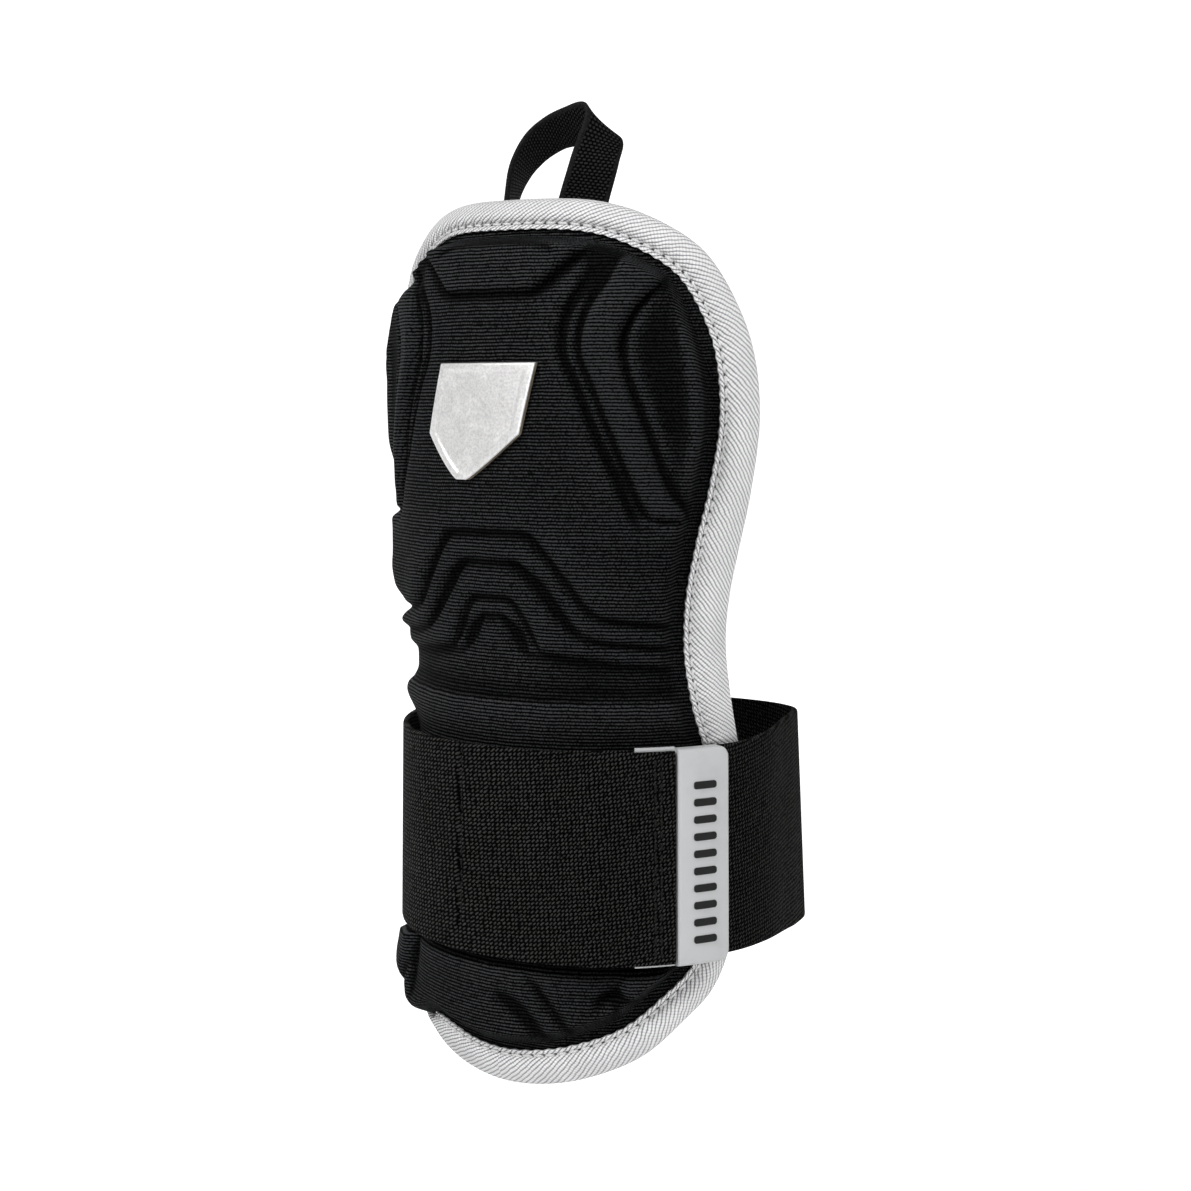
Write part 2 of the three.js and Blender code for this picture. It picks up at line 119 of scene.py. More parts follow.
# Lines of the moulded side panels: the piping, the step up to the band, and the seam.
FLANK = table(
    "z piping band seam",
    (74, 31.2, 34.2, 41.5),
    (81, 28.4, 31.2, 37.4),
    (92, 24.1, 27.2, 33.8),
    (103, 20, 23.4, 30.2),
    (113, 16.6, 20.3, 28.2),
    (120, 17.3, 21.4, 30.2),
    (127, 19.6, 25.2, 35.2),
    (134, 21, 28, 38),
)
FLANK_RELIEF = Sizes(low=75, high=133, foot=2, head=5, edge=2.6, piping=0.9, band=2, fall=1.5)

# Arched steps that go down from the hand plateau to the bend of the wrist.
ARCH_STEPS = (
    Sizes(crest=71.8, crest_half=10.6, foot=53.4, foot_half=22.4, drop=1, soft=2.6),
    Sizes(crest=65.2, crest_half=7.4, foot=48.6, foot_half=20.4, drop=1.2, soft=2.6),
    Sizes(crest=57, crest_half=4.8, foot=45.4, foot_half=11.4, drop=0.9, soft=2.4),
    Sizes(crest=52.8, crest_half=3, foot=45, foot_half=8.6, drop=1, soft=2.4),
)
ARCH_SIDES = Sizes(fall=0.1, shallow_from=26, shallow=0.18, soft=12)

# Lines pressed into both halves of the hand pad. A negative depth stands up.
CREASE = Sizes(depth=1.4, width=1.1, samples=5, reach=6, sharp=0.62, dip=2.6)
HAND_CREASES = dict(
    bar_foot=pressed_line(
        (0, 124.6, 0.9, 0.8), (6, 124.5, 0.9, 0.8), (9.6, 124.5, 1.1, 0.8), (11.4, 125.1, 1.2, 0.9),
        (13.2, 126.7, 1.3, 1), (15.2, 128.6, 1.3, 1), (17.2, 130.6, 1.2, 1), (19, 132.2, 1, 0.9),
        (21.5, 133.4, 0.6, 0.8), (25, 134.2, 0.2, 0.8),
    ),
    bar_head=pressed_line(
        (0, 135.5, 0.9, 0.7), (6, 135.4, 0.9, 0.7), (10, 135, 0.9, 0.7), (12.6, 134.2, 0.8, 0.7),
        (14, 132.9, 0.4, 0.7),
    ),
    piping_inner=pressed_line(
        (21, 126.5, 0.2, 0.8), (18.8, 123.4, 0.8, 0.8), (17.3, 120, 1.3, 0.8), (16.5, 115, 1.4, 0.7),
        (16.8, 111, 1.4, 0.7), (19.4, 104.6, 1.4, 0.7), (22.2, 96.8, 1.3, 0.7), (25, 89.5, 1.4, 0.8),
        (27.6, 83.4, 1.3, 0.8), (29.6, 77.6, 1.1, 0.8), (31.4, 74, 0.8, 0.8), (34.5, 72.6, 0.4, 0.8),
    ),
    band_inner=pressed_line(
        (26, 128.6, 0.2, 0.8), (23.6, 123.8, 1, 0.8), (21.4, 120, 1.4, 0.8), (20.3, 115.2, 1.5, 0.7),
        (20.5, 110.6, 1.5, 0.7), (22.9, 104.4, 1.5, 0.7), (25.8, 96.2, 1.4, 0.7), (28.6, 88, 1.5, 0.8),
        (31, 81, 1.4, 0.8), (32.8, 77, 1.3, 0.8), (34.4, 75.2, 1.2, 0.7), (37.5, 74.9, 1, 0.6),
        (41.5, 75.3, 0.6, 0.6),
    ),
    piping=pressed_line(
        (22.4, 125.2, -0.1, 0.9), (19.6, 120.2, -0.5, 0.9), (18.5, 115, -0.6, 0.9), (18.7, 110.8, -0.6, 0.9),
        (21.2, 104.5, -0.6, 0.9), (24, 96.5, -0.6, 0.9), (26.8, 88.8, -0.6, 0.9), (29.3, 82.2, -0.6, 0.9),
        (31.2, 77.2, -0.6, 0.9), (33, 74.2, -0.5, 0.9), (37.5, 73.2, -0.4, 0.8), (42, 73.4, -0.2, 0.8),
    ),
    band_edge=pressed_line(
        (25.2, 124, -0.2, 1), (23.2, 120, -0.5, 1), (22.2, 115, -0.6, 1.1), (22.4, 110.6, -0.6, 1.1),
        (24.8, 104.4, -0.5, 1.1), (27.6, 96.2, -0.4, 1), (30.4, 88, -0.3, 1), (32.8, 81, -0.2, 1),
    ),
    seam=pressed_line(
        (36.6, 128.6, 0.3, 0.8), (33, 124.2, 1.2, 0.8), (30, 119.4, 1.3, 0.7), (28.3, 114, 1.4, 0.7),
        (28.7, 108, 1.4, 0.7), (31.2, 100.2, 1.4, 0.7), (33.8, 92.2, 1.3, 0.7), (36.2, 84.4, 1.3, 0.8),
        (38.6, 79, 1.1, 0.8), (41, 76.4, 0.6, 0.8),
    ),
    lens_lip=pressed_line(
        (34.6, 124.2, -0.2, 0.8), (31.9, 119.4, -0.7, 0.7), (30.2, 114, -0.7, 0.7), (30.6, 108, -0.7, 0.7),
        (33.1, 100.2, -0.7, 0.7), (35.6, 92.2, -0.6, 0.7), (37.9, 84.4, -0.2, 0.8),
    ),
    ridge=pressed_line(
        (36.8, 127.6, -0.4, 1.2), (38.6, 123.6, -0.9, 1.3), (40.7, 114, -1.3, 1.1), (42.2, 103.6, -1.3, 1.1),
        (42.6, 98, -1.3, 1.1), (42.3, 92, -1.2, 1.1), (41.2, 84.6, -0.6, 1.3), (40.6, 78, -0.1, 1.2),
    ),
    first_arch=pressed_line(
        (0, 71.9, 0.9, 0.9), (6, 71.9, 0.9, 0.9), (9.4, 71.2, 1, 0.9), (11.2, 69.8, 1.2, 0.85),
        (14.6, 65.4, 1.3, 0.85), (18, 60.4, 1.3, 0.85), (20.8, 56, 1.3, 0.85), (22.6, 54, 1.2, 0.85),
        (25.4, 52.9, 1, 0.8), (30, 52.2, 0.8, 0.8), (36, 51.7, 0.7, 0.8), (44, 51.2, 0.4, 0.8),
    ),
    second_arch=pressed_line(
        (0, 65.4, 0.6, 0.8), (3.4, 65.4, 0.8, 0.8), (6, 64.9, 1.2, 0.9), (8.6, 63.1, 1.6, 1.1),
        (11.2, 60.4, 2.1, 1.4), (14.2, 56.4, 2, 1.4), (17, 52.4, 1.6, 1.2), (19.6, 49.6, 1.1, 0.9),
        (22.6, 48.1, 0.8, 0.8), (27, 47.2, 0.6, 0.8), (34, 46.7, 0.5, 0.8), (44, 46.3, 0.4, 0.8),
    ),
    third_arch=pressed_line(
        (0, 57.1, 0.9, 0.8), (3.4, 57, 1, 0.8), (5.4, 56, 1.2, 0.8), (7.4, 53.2, 1.3, 0.8),
        (9.4, 49.2, 1.3, 0.8), (10.8, 46.3, 1.1, 0.8), (12.8, 45, 0.8, 0.8), (17, 44.4, 0.5, 0.8),
        (24, 44.1, 0.2, 0.8),
    ),
    fourth_arch=pressed_line(
        (0, 53, 0.7, 0.8), (2.4, 52.8, 0.9, 0.8), (4.2, 51.2, 1.4, 1), (5.8, 49.2, 1.9, 1.2),
        (7.2, 46.9, 1.6, 1.1), (8.6, 45, 0.6, 0.9),
    ),
)

# Painted light the relief puts on the knit: painted shade below flat in a crease, painted highlight over a
# raised line; and the drape of its pattern.
RAISED_LINES = ("piping", "band_edge", "lens_lip", "ridge")
PAINTED_LIGHT_AND_DRAPE = Sizes(
    flat=0.5, most=2.2, fine=1.1, fine_cells=3, broad=0.25, broad_cells=10,
    lowest_panel=-0.3, line=0.55, shoulder=0.5, drape=0.6,
)

# The wrist block under the strap, the bar that closes it, and the panel at the wrist end.
WRIST = Sizes(
    top=35, level=6.7, soft=4.4, bar=31, bar_half=4.6, bar_rise=0.6,
    side_rise=0.8, side_from=26, side_soft=14,
)
WRIST_PANEL = Sizes(
    top=-26.6, rise=1.4, soft=2.4,
    near_lobe=1.8, far_lobe=3.4, lobe_from=27.6, lobe_foot=-40.4, lobe_soft=10,
)
WRIST_CREASES = dict(
    bar_line=pressed_line(
        (-44, 34.4, 0.2, 0.6), (-2, 34.9, 0.9, 0.6), (14, 34.8, 1, 0.6), (24, 34.6, 0.4, 0.6),
        (44, 34.2, 0.2, 0.6),
    ),
    long_fold=pressed_line(
        (1.4, -32.6, 0.2, 1.2), (3.6, -34, 1, 1.4), (6, -35.7, 1.5, 1.5), (8.4, -38.1, 1.6, 1.5),
        (10.6, -40.8, 1.4, 1.4), (12.8, -43.4, 0.8, 1.2), (14.6, -45.4, 0.2, 1),
    ),
    thin_fold=pressed_line(
        (8.6, -27.8, 0.3, 0.8), (10.6, -30.4, 0.8, 0.8), (14.4, -36, 0.9, 0.8), (18.2, -41.6, 0.6, 0.8),
        (20, -44.2, 0.2, 0.8),
    ),
    dimple=pressed_line(
        (22.6, -35, 0.3, 0.8), (23.6, -32.9, 1.1, 0.9), (25.4, -31.9, 1.7, 1), (27.6, -32.1, 1.5, 1),
        (29.6, -33, 0.9, 0.9), (31, -33.9, 0.2, 0.8),
    ),
    far_crease=pressed_line(
        (-26.6, -26.5, 0.8, 1), (-27.2, -30, 1.7, 1.2), (-28.4, -33.6, 1.9, 1.3), (-30.2, -38, 1.3, 1.2),
        (-32.6, -42.6, 0.5, 1),
    ),
)

# How much fuller or flatter the far half of the pad stands than the near half, towards its side.
FAR_SIDE = table(
    "z swell",
    (26, 1),
    (31, 1.8),
    (36, 0.8),
    (40, 0.5),
    (44, 0.9),
    (48.6, 2.2),
    (52.2, -1),
    (57.2, 1.6),
    (60.5, 1.8),
    (66, 0.9),
    (72, 0.3),
    (77, -1.7),
    (84, -1.5),
    (92, -0.7),
    (104, -0.8),
    (111, -0.5),
    (118, 0.2),
    (123, 0.1),
    (126, -1.6),
    (128.6, -4),
    (131, -2),
    (133.4, 1),
    (138, 1),
    (146, 0),
)
FAR = Sizes(side=33, soft=12, shift=8, shift_at=124, above=24, above_soft=6)

# The far corner of the wrist end, which swells over the tape, its round foot, and the far top edge.
FAR_CORNER = Sizes(
    side=22, side_soft=16, below=-30, below_soft=8, foot=-52, foot_soft=12,
    wider=1.6, wider_below=-42, wider_soft=7, less_tape=3.4, less_shoulder=2.4, thicker=0.3,
)
FAR_FOOT = Sizes(side=22, side_soft=10, z=-45.6, half=5, rise=1.6, less_shoulder=2.4)
FAR_TOP = Sizes(above=142.6, soft=4, rise=0.8)

# The tape folded over the cut edge, and how far it reaches in, from the wrist end to the top.
TAPE = Sizes(
    gap=0.25, thick=1.1, lip=0.62, thin_to=2.4, thin_soft=3, fold=0.8, fold_high=0.06, stations=960,
    puff=0.55, puff_from=1.6, puff_to=0.6, puff_wave=0.1,
    groove=0.5, groove_half=0.5, groove_wave=0.35, back_groove=0.35, back_lip=0.4,
)
TAPE_NOSE = TAPE.gap + TAPE.thick
TAPE_REACH = table(
    "z reach",
    (-56, 7.6),
    (-40, 6.8),
    (-26, 7.2),
    (46, 9.6),
    (97, 8.8),
    (125, 6.8),
    (145, 5.6),
)

# The stitches along the tape, those across the strap, and the bow of every stitch over its length.
STITCH = Sizes(
    pitch=2.75, inset=1.3, long=2.2, wide=0.3, high=0.2, scallop=0.13,
    front_sunk=0.87, front_bow=0.3, back_sunk=0.455, back_bow=0.25,
)
SEAM = Sizes(pitch=2.6, long=2.132, sunk=0.1, bow=0.22)
STITCH_SPREAD = np.linspace(-0.5, 0.5, 9)
STITCH_BOW = np.cos(np.pi * STITCH_SPREAD)

# The finger loop's middle line and the lie of its width, from the right foot to the left.
LOOP = Sizes(width=11.2, thick=1.2, samples=24, columns=13)
LOOP_PATH = table(
    "x y z yaw pitch",
    (11.2, -32.2, 121, 12, 0),
    (11.8, -26.7, 137, 18, -3),
    (12.7, -24, 146, 40, -7),
    (15.5, -23.8, 154.2, 50, -5),
    (16.2, -21.7, 161.7, 77, -24),
    (11.6, -21.2, 163, 102, -48),
    (5.8, -20, 162.7, 104, -41),
    (1, -19.4, 161.8, 103, -34),
    (-4.3, -19.9, 158.8, 105, -29),
    (-7.9, -20.6, 154.2, 106, -12),
    (-9.3, -22, 147.9, 113, 4),
    (-9.6, -23.7, 141, 124, 2),
    (-10.1, -26.7, 133, 146, 0),
    (-10.8, -32.3, 120, 169, 0),
)

# The strap seen from above, from its sewn start on the right of the pad to its fastened end.
STRAP = Sizes(
    half=24, thick=1.5, steps=760, columns=36, wide_turn=122, wide_half=24, wider=0.075,
    seam_turn=353, seam_low=-18, seam_high=23.5, seam_soft=2, seam_depth=0.9, seam_half=0.55,
    hem_rows=(3.2, 4.6), hem_low=-22.4, hem_high=22.8, hem_depth=0.3, hem_half=0.5,
    drawn=0.32, drawn_from=305, drawn_to=372, drawn_soft=40,
)
STRAP_PATH = table(
    "turn radius lift flare",
    (26, 45.3, 0, 0.7),
    (62, 45.3, 0, 0.7),
    (78, 45.6, 0, 0.7),
    (90, 45.4, 0.3, 0.9),
    (105, 44.8, 0.7, 1.4),
    (117, 46, 0.8, 1.8),
    (125, 47, 0.9, 2.4),
    (133, 45.2, 1.2, 2.3),
    (150, 39, 2, 2.3),
    (180, 34, 2.3, 2.3),
    (210, 39, 2, 2.3),
    (227, 47, 1.6, 2.3),
    (235, 48.6, 1.4, 2),
    (245, 47.6, 1.1, 1.7),
    (270, 46.9, 0.7, 0.9),
    (290, 47.3, 0.5, 0.7),
    (330, 46.9, 0.1, 0.7),
    (362, 46.2, 0, 0.7),
    (384, 47.2, 0, 0.7),
    (396, 48.1, 0, 0.7),
    (415.6, 48.1, 0, 0.7),
)

# The moulded end of the strap: a plate with a thin tongue that runs in behind the strap's end.
TAB = Sizes(
    tongue_from=45, plate_from=56.2, plate_to=71.4, back=46.4, tongue_front=46.9, plate_front=49.4,
    half_tongue=24.7, half_plate=24.4, corner=2.6, bevel=0.7, flare=0.7,
)
# The distance along the plate's front in each degree of turn.
TAB_DEGREE = np.radians(1) * TAB.plate_front
GRIPS = Sizes(
    count=10, top=17, bottom=-19.5, tall=1.7, turn_from=60.4, turn_to=67, rise=0.35, corner=0.6,
    bevel=0.3, end_wall=0.15, side_wall=0.05, foot=0.01,
)
# Rows of points along a rounded edge, and over the end of a strip.
BEVEL_STEPS = 6
END_RINGS = 4

# A plain slanted shield that stands on the hand plateau.
BADGE = Sizes(
    across=-1.2, z=96.6, half=11, tip_half=1.2, top=12.6, shoulder=-3, tip=-13.2, slant=0.2,
    foot=0.05, thick=1.65, bevel=0.5, border=1.7, sunk=0.4,
)

# The camera, fitted to the photograph, whose side is in pixels.
CAMERA = Sizes(azimuth=36, elevation=5.6, distance=478, focal_pixels=1975, aside=-1.3, level=54)
PHOTO_SIDE = 1191
FILM = 36

# The floor, in metres.
FLOOR = Sizes(level=-0.2, front=-3.2, bend=1.6, radius=0.9, top=3.2, half=4, steps=12, columns=9)

# Soft lamps round the guard, in degrees, metres and watts. The pale lamp lights the pale pieces alone.
LAMPS = (
    dict(name="left_lamp", azimuth=-4, elevation=44, distance=1, side=0.26, watts=7),
    dict(name="right_lamp", azimuth=112, elevation=24, distance=1.1, side=0.5, watts=2.1),
)
PALE_LAMP = dict(name="pale_lamp", azimuth=52, elevation=-14, distance=1.3, side=0.9, watts=18)
PALE_PIECES = ("binding_tape", "binding_stitches", "rubber_tab", "silver_shield")
# How strongly the white surround lights the guard, and how it shows.
SURROUND = Sizes(light=0.1, shown=0.9)

# The sizes of the knit and the weaves.
KNIT = Sizes(course=0.78, loop=0.64, stray=0.6)
WEAVE = Sizes(rib=0.84, cross=0.66)
SLANT = Sizes(run=0.64, over=0.77)


def ease(x, width):
    """A soft step from 0 to 1, as wide as given and centred on x = 0."""
    u = np.clip(x / width + 0.5, 0, 1)
    return u * u * (3 - 2 * u)


def hump(x, half):
    """A soft bump of height 1 round x = 0."""
    return np.exp(-((x / half) ** 2))


def through(rows, along, column):
    """A smooth curve through one column of a table that doesn't overshoot its rows."""
    at, value = rows[along], rows[column]
    slope = np.diff(value) / np.diff(at)
    before = np.append(slope[0], slope)
    after = np.append(slope, slope[-1])
    agree = before * after > 0
    tangent = np.where(agree, 2 * before * after / np.where(agree, before + after, 1), 0)

    def curve(x):
        x = np.clip(x, at[0], at[-1])
        i = np.clip(np.searchsorted(at, x) - 1, 0, len(at) - 2)
        span = at[i + 1] - at[i]
        u = (x - at[i]) / span
        step = (value[i + 1] - value[i]) * u * u * (3 - 2 * u)
        lean = span * (tangent[i] * u * (1 - u) ** 2 - tangent[i + 1] * u * u * (1 - u))
        return value[i] + step + lean

    return curve


inside_front = through(INSIDE, "z", "front")
inside_radius = through(INSIDE, "z", "radius")
even_reach = through(TAPE_REACH, "z", "reach")
far_swell = through(FAR_SIDE, "z", "swell")
flank_line = {name: through(FLANK, "z", name) for name in ("piping", "band", "seam")}
strap_radius = through(STRAP_PATH, "turn", "radius")
strap_lift = through(STRAP_PATH, "turn", "lift")
strap_flare = through(STRAP_PATH, "turn", "flare")


def stack(*columns):
    return np.stack(np.broadcast_arrays(*columns), -1)


def unit(vectors):
    """The same directions, each with a length of 1."""
    return vectors / np.linalg.norm(vectors, axis=-1)[..., None]


def run_length(line):
    """The distance run at each point of a line."""
    steps = np.linalg.norm(np.diff(line, axis=0), axis=1)
    return np.append(0, np.cumsum(steps))


def between(rows, run, at):
    """Rows that stand at distances along a run, worked out at other distances."""
    return stack(*(np.interp(at, run, column) for column in rows.T))


def smooth_line(points, samples, closed):
    """A dense line through points, rounder where they lie further apart."""
    count = len(points)
    spans = count if closed else count - 1
    ahead = 2 * points[-1] - points[-2]
    behind = 2 * points[0] - points[1]
    ring = [points[-1], *points, points[0], points[1]] if closed else [behind, *points, ahead]
    u = np.linspace(0, 1, samples, endpoint=False)[:, None]
    square, cube = u * u, u ** 3
    line = []
    for p0, p1, p2, p3 in zip(ring, ring[1:], ring[2:], ring[3:spans + 3]):
        d0, d1, d2 = (np.linalg.norm(b - a) ** 0.5 for a, b in ((p0, p1), (p1, p2), (p2, p3)))
        leave = d1 * ((p1 - p0) / d0 - (p2 - p0) / (d0 + d1) + (p2 - p1) / d1)
        arrive = d1 * ((p2 - p1) / d1 - (p3 - p1) / (d1 + d2) + (p3 - p2) / d2)
        start = (2 * cube - 3 * square + 1) * p1 + (cube - 2 * square + u) * leave
        line.append(start + (3 * square - 2 * cube) * p2 + (cube - square) * arrive)
    line.append((points[0] if closed else points[-1])[None])
    return np.concatenate(line)


def far_corner(across, z):
    """1 in the far corner of the wrist end, where the foam swells over the tape, and 0 elsewhere."""
    part = FAR_CORNER
    level = ease(part.below - z, part.below_soft) * ease(z - part.foot, part.foot_soft)
    return level * ease(-across - part.side, part.side_soft)


def far_foot(across, z):
    """1 at the round foot of that corner, and 0 away from it."""
    part = FAR_FOOT
    return ease(-across - part.side, part.side_soft) * hump(z - part.z, part.half)


def tape_reach(across, z):
    return even_reach(z) - FAR_CORNER.less_tape * far_corner(across, z)


def pad_point(across, z, height):
    """A point at a height above the inside face, by its distance across the face and its level."""
    radius = inside_radius(z)
    turn = across / radius
    out = radius + height
    return stack(out * np.sin(turn), inside_front(z) + radius - out * np.cos(turn), z)


def around_wrist(turn, radius, z):
    angle = np.radians(turn)
    return stack(radius * np.sin(angle), -radius * np.cos(angle), z)


def edge_line():
    """The pad's cut edge, once round, the distances of its right corners and the whole distance."""
    right = stack(EDGE["across"], EDGE["z"])
    left = right[-2:0:-1] * (-1, 1)
    lowest = ease(FAR_CORNER.wider_below - left[:, 1], FAR_CORNER.wider_soft)
    left[:, 0] -= FAR_CORNER.wider * lowest * far_corner(left[:, 0], left[:, 1])
    left[:, 1] += FAR_TOP.rise * ease(left[:, 1] - FAR_TOP.above, FAR_TOP.soft)
    line = smooth_line(np.concatenate([right, left]), EDGE_SAMPLES, closed=True)
    run = run_length(line)
    return line, run[LOW_CORNER * EDGE_SAMPLES], run[HIGH_CORNER * EDGE_SAMPLES], run[-1]


def pad_pattern():
    """The pad's flat pattern: a grid of (across, z) points that fills the cut edge."""
    line, low, high, total = edge_line()

    def side(start, end, count):
        return between(line, run_length(line), np.linspace(start, end, count + 1) % total)

    bottom = side(total - low, total + low, PAD.across)[None]
    top = side(total - high, high, PAD.across)[None]
    right = side(low, high, PAD.along)[:, None]
    left = side(total - low, total - high, PAD.along)[:, None]
    u = np.linspace(0, 1, PAD.across + 1)[None, :, None]
    v = np.linspace(0, 1, PAD.along + 1)[:, None, None]
    lower = left[:1] * (1 - u) + right[:1] * u
    upper = left[-1:] * (1 - u) + right[-1:] * u
    return left * (1 - u) + right * u + bottom * (1 - v) + top * v - lower * (1 - v) - upper * v


def border_of(grid):
    """The points round the border of a grid, once round, with the first one again at the end."""
    return np.concatenate([grid[0, :-1], grid[:-1, -1], grid[-1, :0:-1], grid[::-1, 0]])


def from_edge(spots, border):
    """The way to each flat spot from the nearest place on a closed border line."""
    start, step = border[:-1], np.diff(border, axis=0)
    keep = (step ** 2).sum(1) > 0
    start, step = start[keep], step[keep]
    nearest = []
    for row in spots:
        away = row[:, None] - start
        share = np.clip((away * step).sum(-1) / (step ** 2).sum(-1), 0, 1)
        gap = away - share[..., None] * step
        best = (gap ** 2).sum(-1).argmin(1)
        nearest.append(gap[np.arange(len(row)), best])
    return np.array(nearest)


def pressed(line, across, z):
    """How far a pressed line sinks the cloth at each spot: a sharp fold in a wider dip."""
    knots = stack(*(line[column] for column in ("across", "z", "depth", "half")))
    knots = smooth_line(knots, CREASE.samples, closed=False)
    low = knots[:, :2].min(0) - CREASE.reach
    high = knots[:, :2].max(0) + CREASE.reach
    near = (across > low[0]) & (across < high[0]) & (z > low[1]) & (z < high[1])
    away = stack(across[near], z[near])[:, None] - knots[:-1, :2]
    step = np.diff(knots, axis=0)
    flat = step[:, :2]
    share = np.clip((away * flat).sum(-1) / (flat ** 2).sum(-1), 0, 1)
    gap = np.sqrt(((away - share[..., None] * flat) ** 2).sum(-1))
    rows, best = np.arange(len(gap)), gap.argmin(1)
    spot = knots[best] + share[rows, best][:, None] * step[best]
    away = gap[rows, best] / (CREASE.width * spot[:, 3])
    fold = CREASE.sharp * hump(away, 1) + (1 - CREASE.sharp) * hump(away, CREASE.dip)
    sunk = np.zeros_like(z)
    sunk[near] = CREASE.depth * spot[:, 2] * fold
    return sunk


def top_bar(side, z):
    half = TOP_BAR.half + (z - TOP_BAR.low) * TOP_BAR.flare
    level = ease(z - TOP_BAR.low, TOP_BAR.soft) * ease(TOP_BAR.high - z, TOP_BAR.soft)
    return TOP_BAR.rise * level * ease(half - side, TOP_BAR.end)


def flank_panels(side, z):
    part = FLANK_RELIEF
    level = ease(z - part.low, part.foot) * ease(part.high - z, part.head)
    piping = -part.piping * ease(side - flank_line["piping"](z), part.edge)
    band = part.band * ease(side - flank_line["band"](z), part.edge)
    fall = -part.fall * ease(side - flank_line["seam"](z), part.edge)
    return level * (piping + band + fall)


def arch_line(step, side):
    slope = (step.crest - step.foot) / (step.foot_half - step.crest_half)
    slanted = step.crest - slope * np.maximum(side - step.crest_half, 0)
    tail = step.foot - ARCH_SIDES.fall * (side - step.foot_half)
    return np.where(side < step.foot_half, slanted, tail)


def arch_steps(side, z):
    down = sum(step.drop * ease(arch_line(step, side) - z, step.soft) for step in ARCH_STEPS)
    shallow = ARCH_SIDES.shallow * ease(side - ARCH_SIDES.shallow_from, ARCH_SIDES.soft)
    return -down * (1 - shallow)


def wrist_relief(across, z):
    side = np.abs(across)
    bar = WRIST.bar_rise + WRIST.side_rise * ease(side - WRIST.side_from, WRIST.side_soft)
    bar = bar * hump(z - WRIST.bar, WRIST.bar_half)
    lobe = np.where(across > 0, WRIST_PANEL.near_lobe, WRIST_PANEL.far_lobe)
    lobe = lobe * ease(side - WRIST_PANEL.lobe_from, WRIST_PANEL.soft)
    lobe = lobe * ease(z - WRIST_PANEL.lobe_foot, WRIST_PANEL.lobe_soft)
    panel = (WRIST_PANEL.rise + lobe) * ease(WRIST_PANEL.top - z, WRIST_PANEL.soft)
    return bar + panel - sum(pressed(line, across, z) for line in WRIST_CREASES.values())


def rim_height(inward):
    return PAD.rim + PAD.slope * inward


def pad_relief(across, z):
    """The height of the moulded outside away from its edge."""
    side = np.abs(across)
    hand = PAD.plateau + top_bar(side, z) + flank_panels(side, z) + arch_steps(side, z)
    hand = hand - sum(pressed(line, side, z) for line in HAND_CREASES.values())
    wrist = WRIST.level + wrist_relief(across, z)
    full = hand + (wrist - hand) * ease(WRIST.top - z, WRIST.soft)
    far_from = FAR.side - FAR.shift * ease(z - FAR.shift_at, FAR.soft)
    far = ease(-across - far_from, FAR.soft) * ease(z - FAR.above, FAR.above_soft)
    corner = FAR_CORNER.thicker * far_corner(across, z) + FAR_FOOT.rise * far_foot(across, z)
    return full + far * far_swell(z) + corner


def pad_body(across, z, inward):
    """How far each spot stands clear of the low rim under the tape, from 0 to 1."""
    top_less = PAD.top_less * ease(z - PAD.top_from, PAD.top_soft)
    wide = PAD.shoulder - top_less
    corner_less = FAR_CORNER.less_shoulder * far_corner(across, z)
    foot_less = FAR_FOOT.less_shoulder * far_foot(across, z)
    start = tape_reach(across, z) + PAD.shoulder_from - top_less - corner_less - foot_less + wide / 2
    return ease(inward - start, wide)


def grid_faces(rows, columns):
    """The four corners of each cell of a grid of points."""
    index = np.arange(rows * columns).reshape(rows, columns)
    corners = (index[:-1, :-1], index[:-1, 1:], index[1:, 1:], index[1:, :-1])
    return np.stack(corners, -1).reshape(-1, 4)


def linked(name, data):
    """A new object in the scene."""
    made = bpy.data.objects.new(name, data)
    bpy.context.scene.collection.objects.link(made)
    return made


def smooth_faces(mesh):
    mesh.polygons.foreach_set("use_smooth", np.ones(len(mesh.polygons), bool))


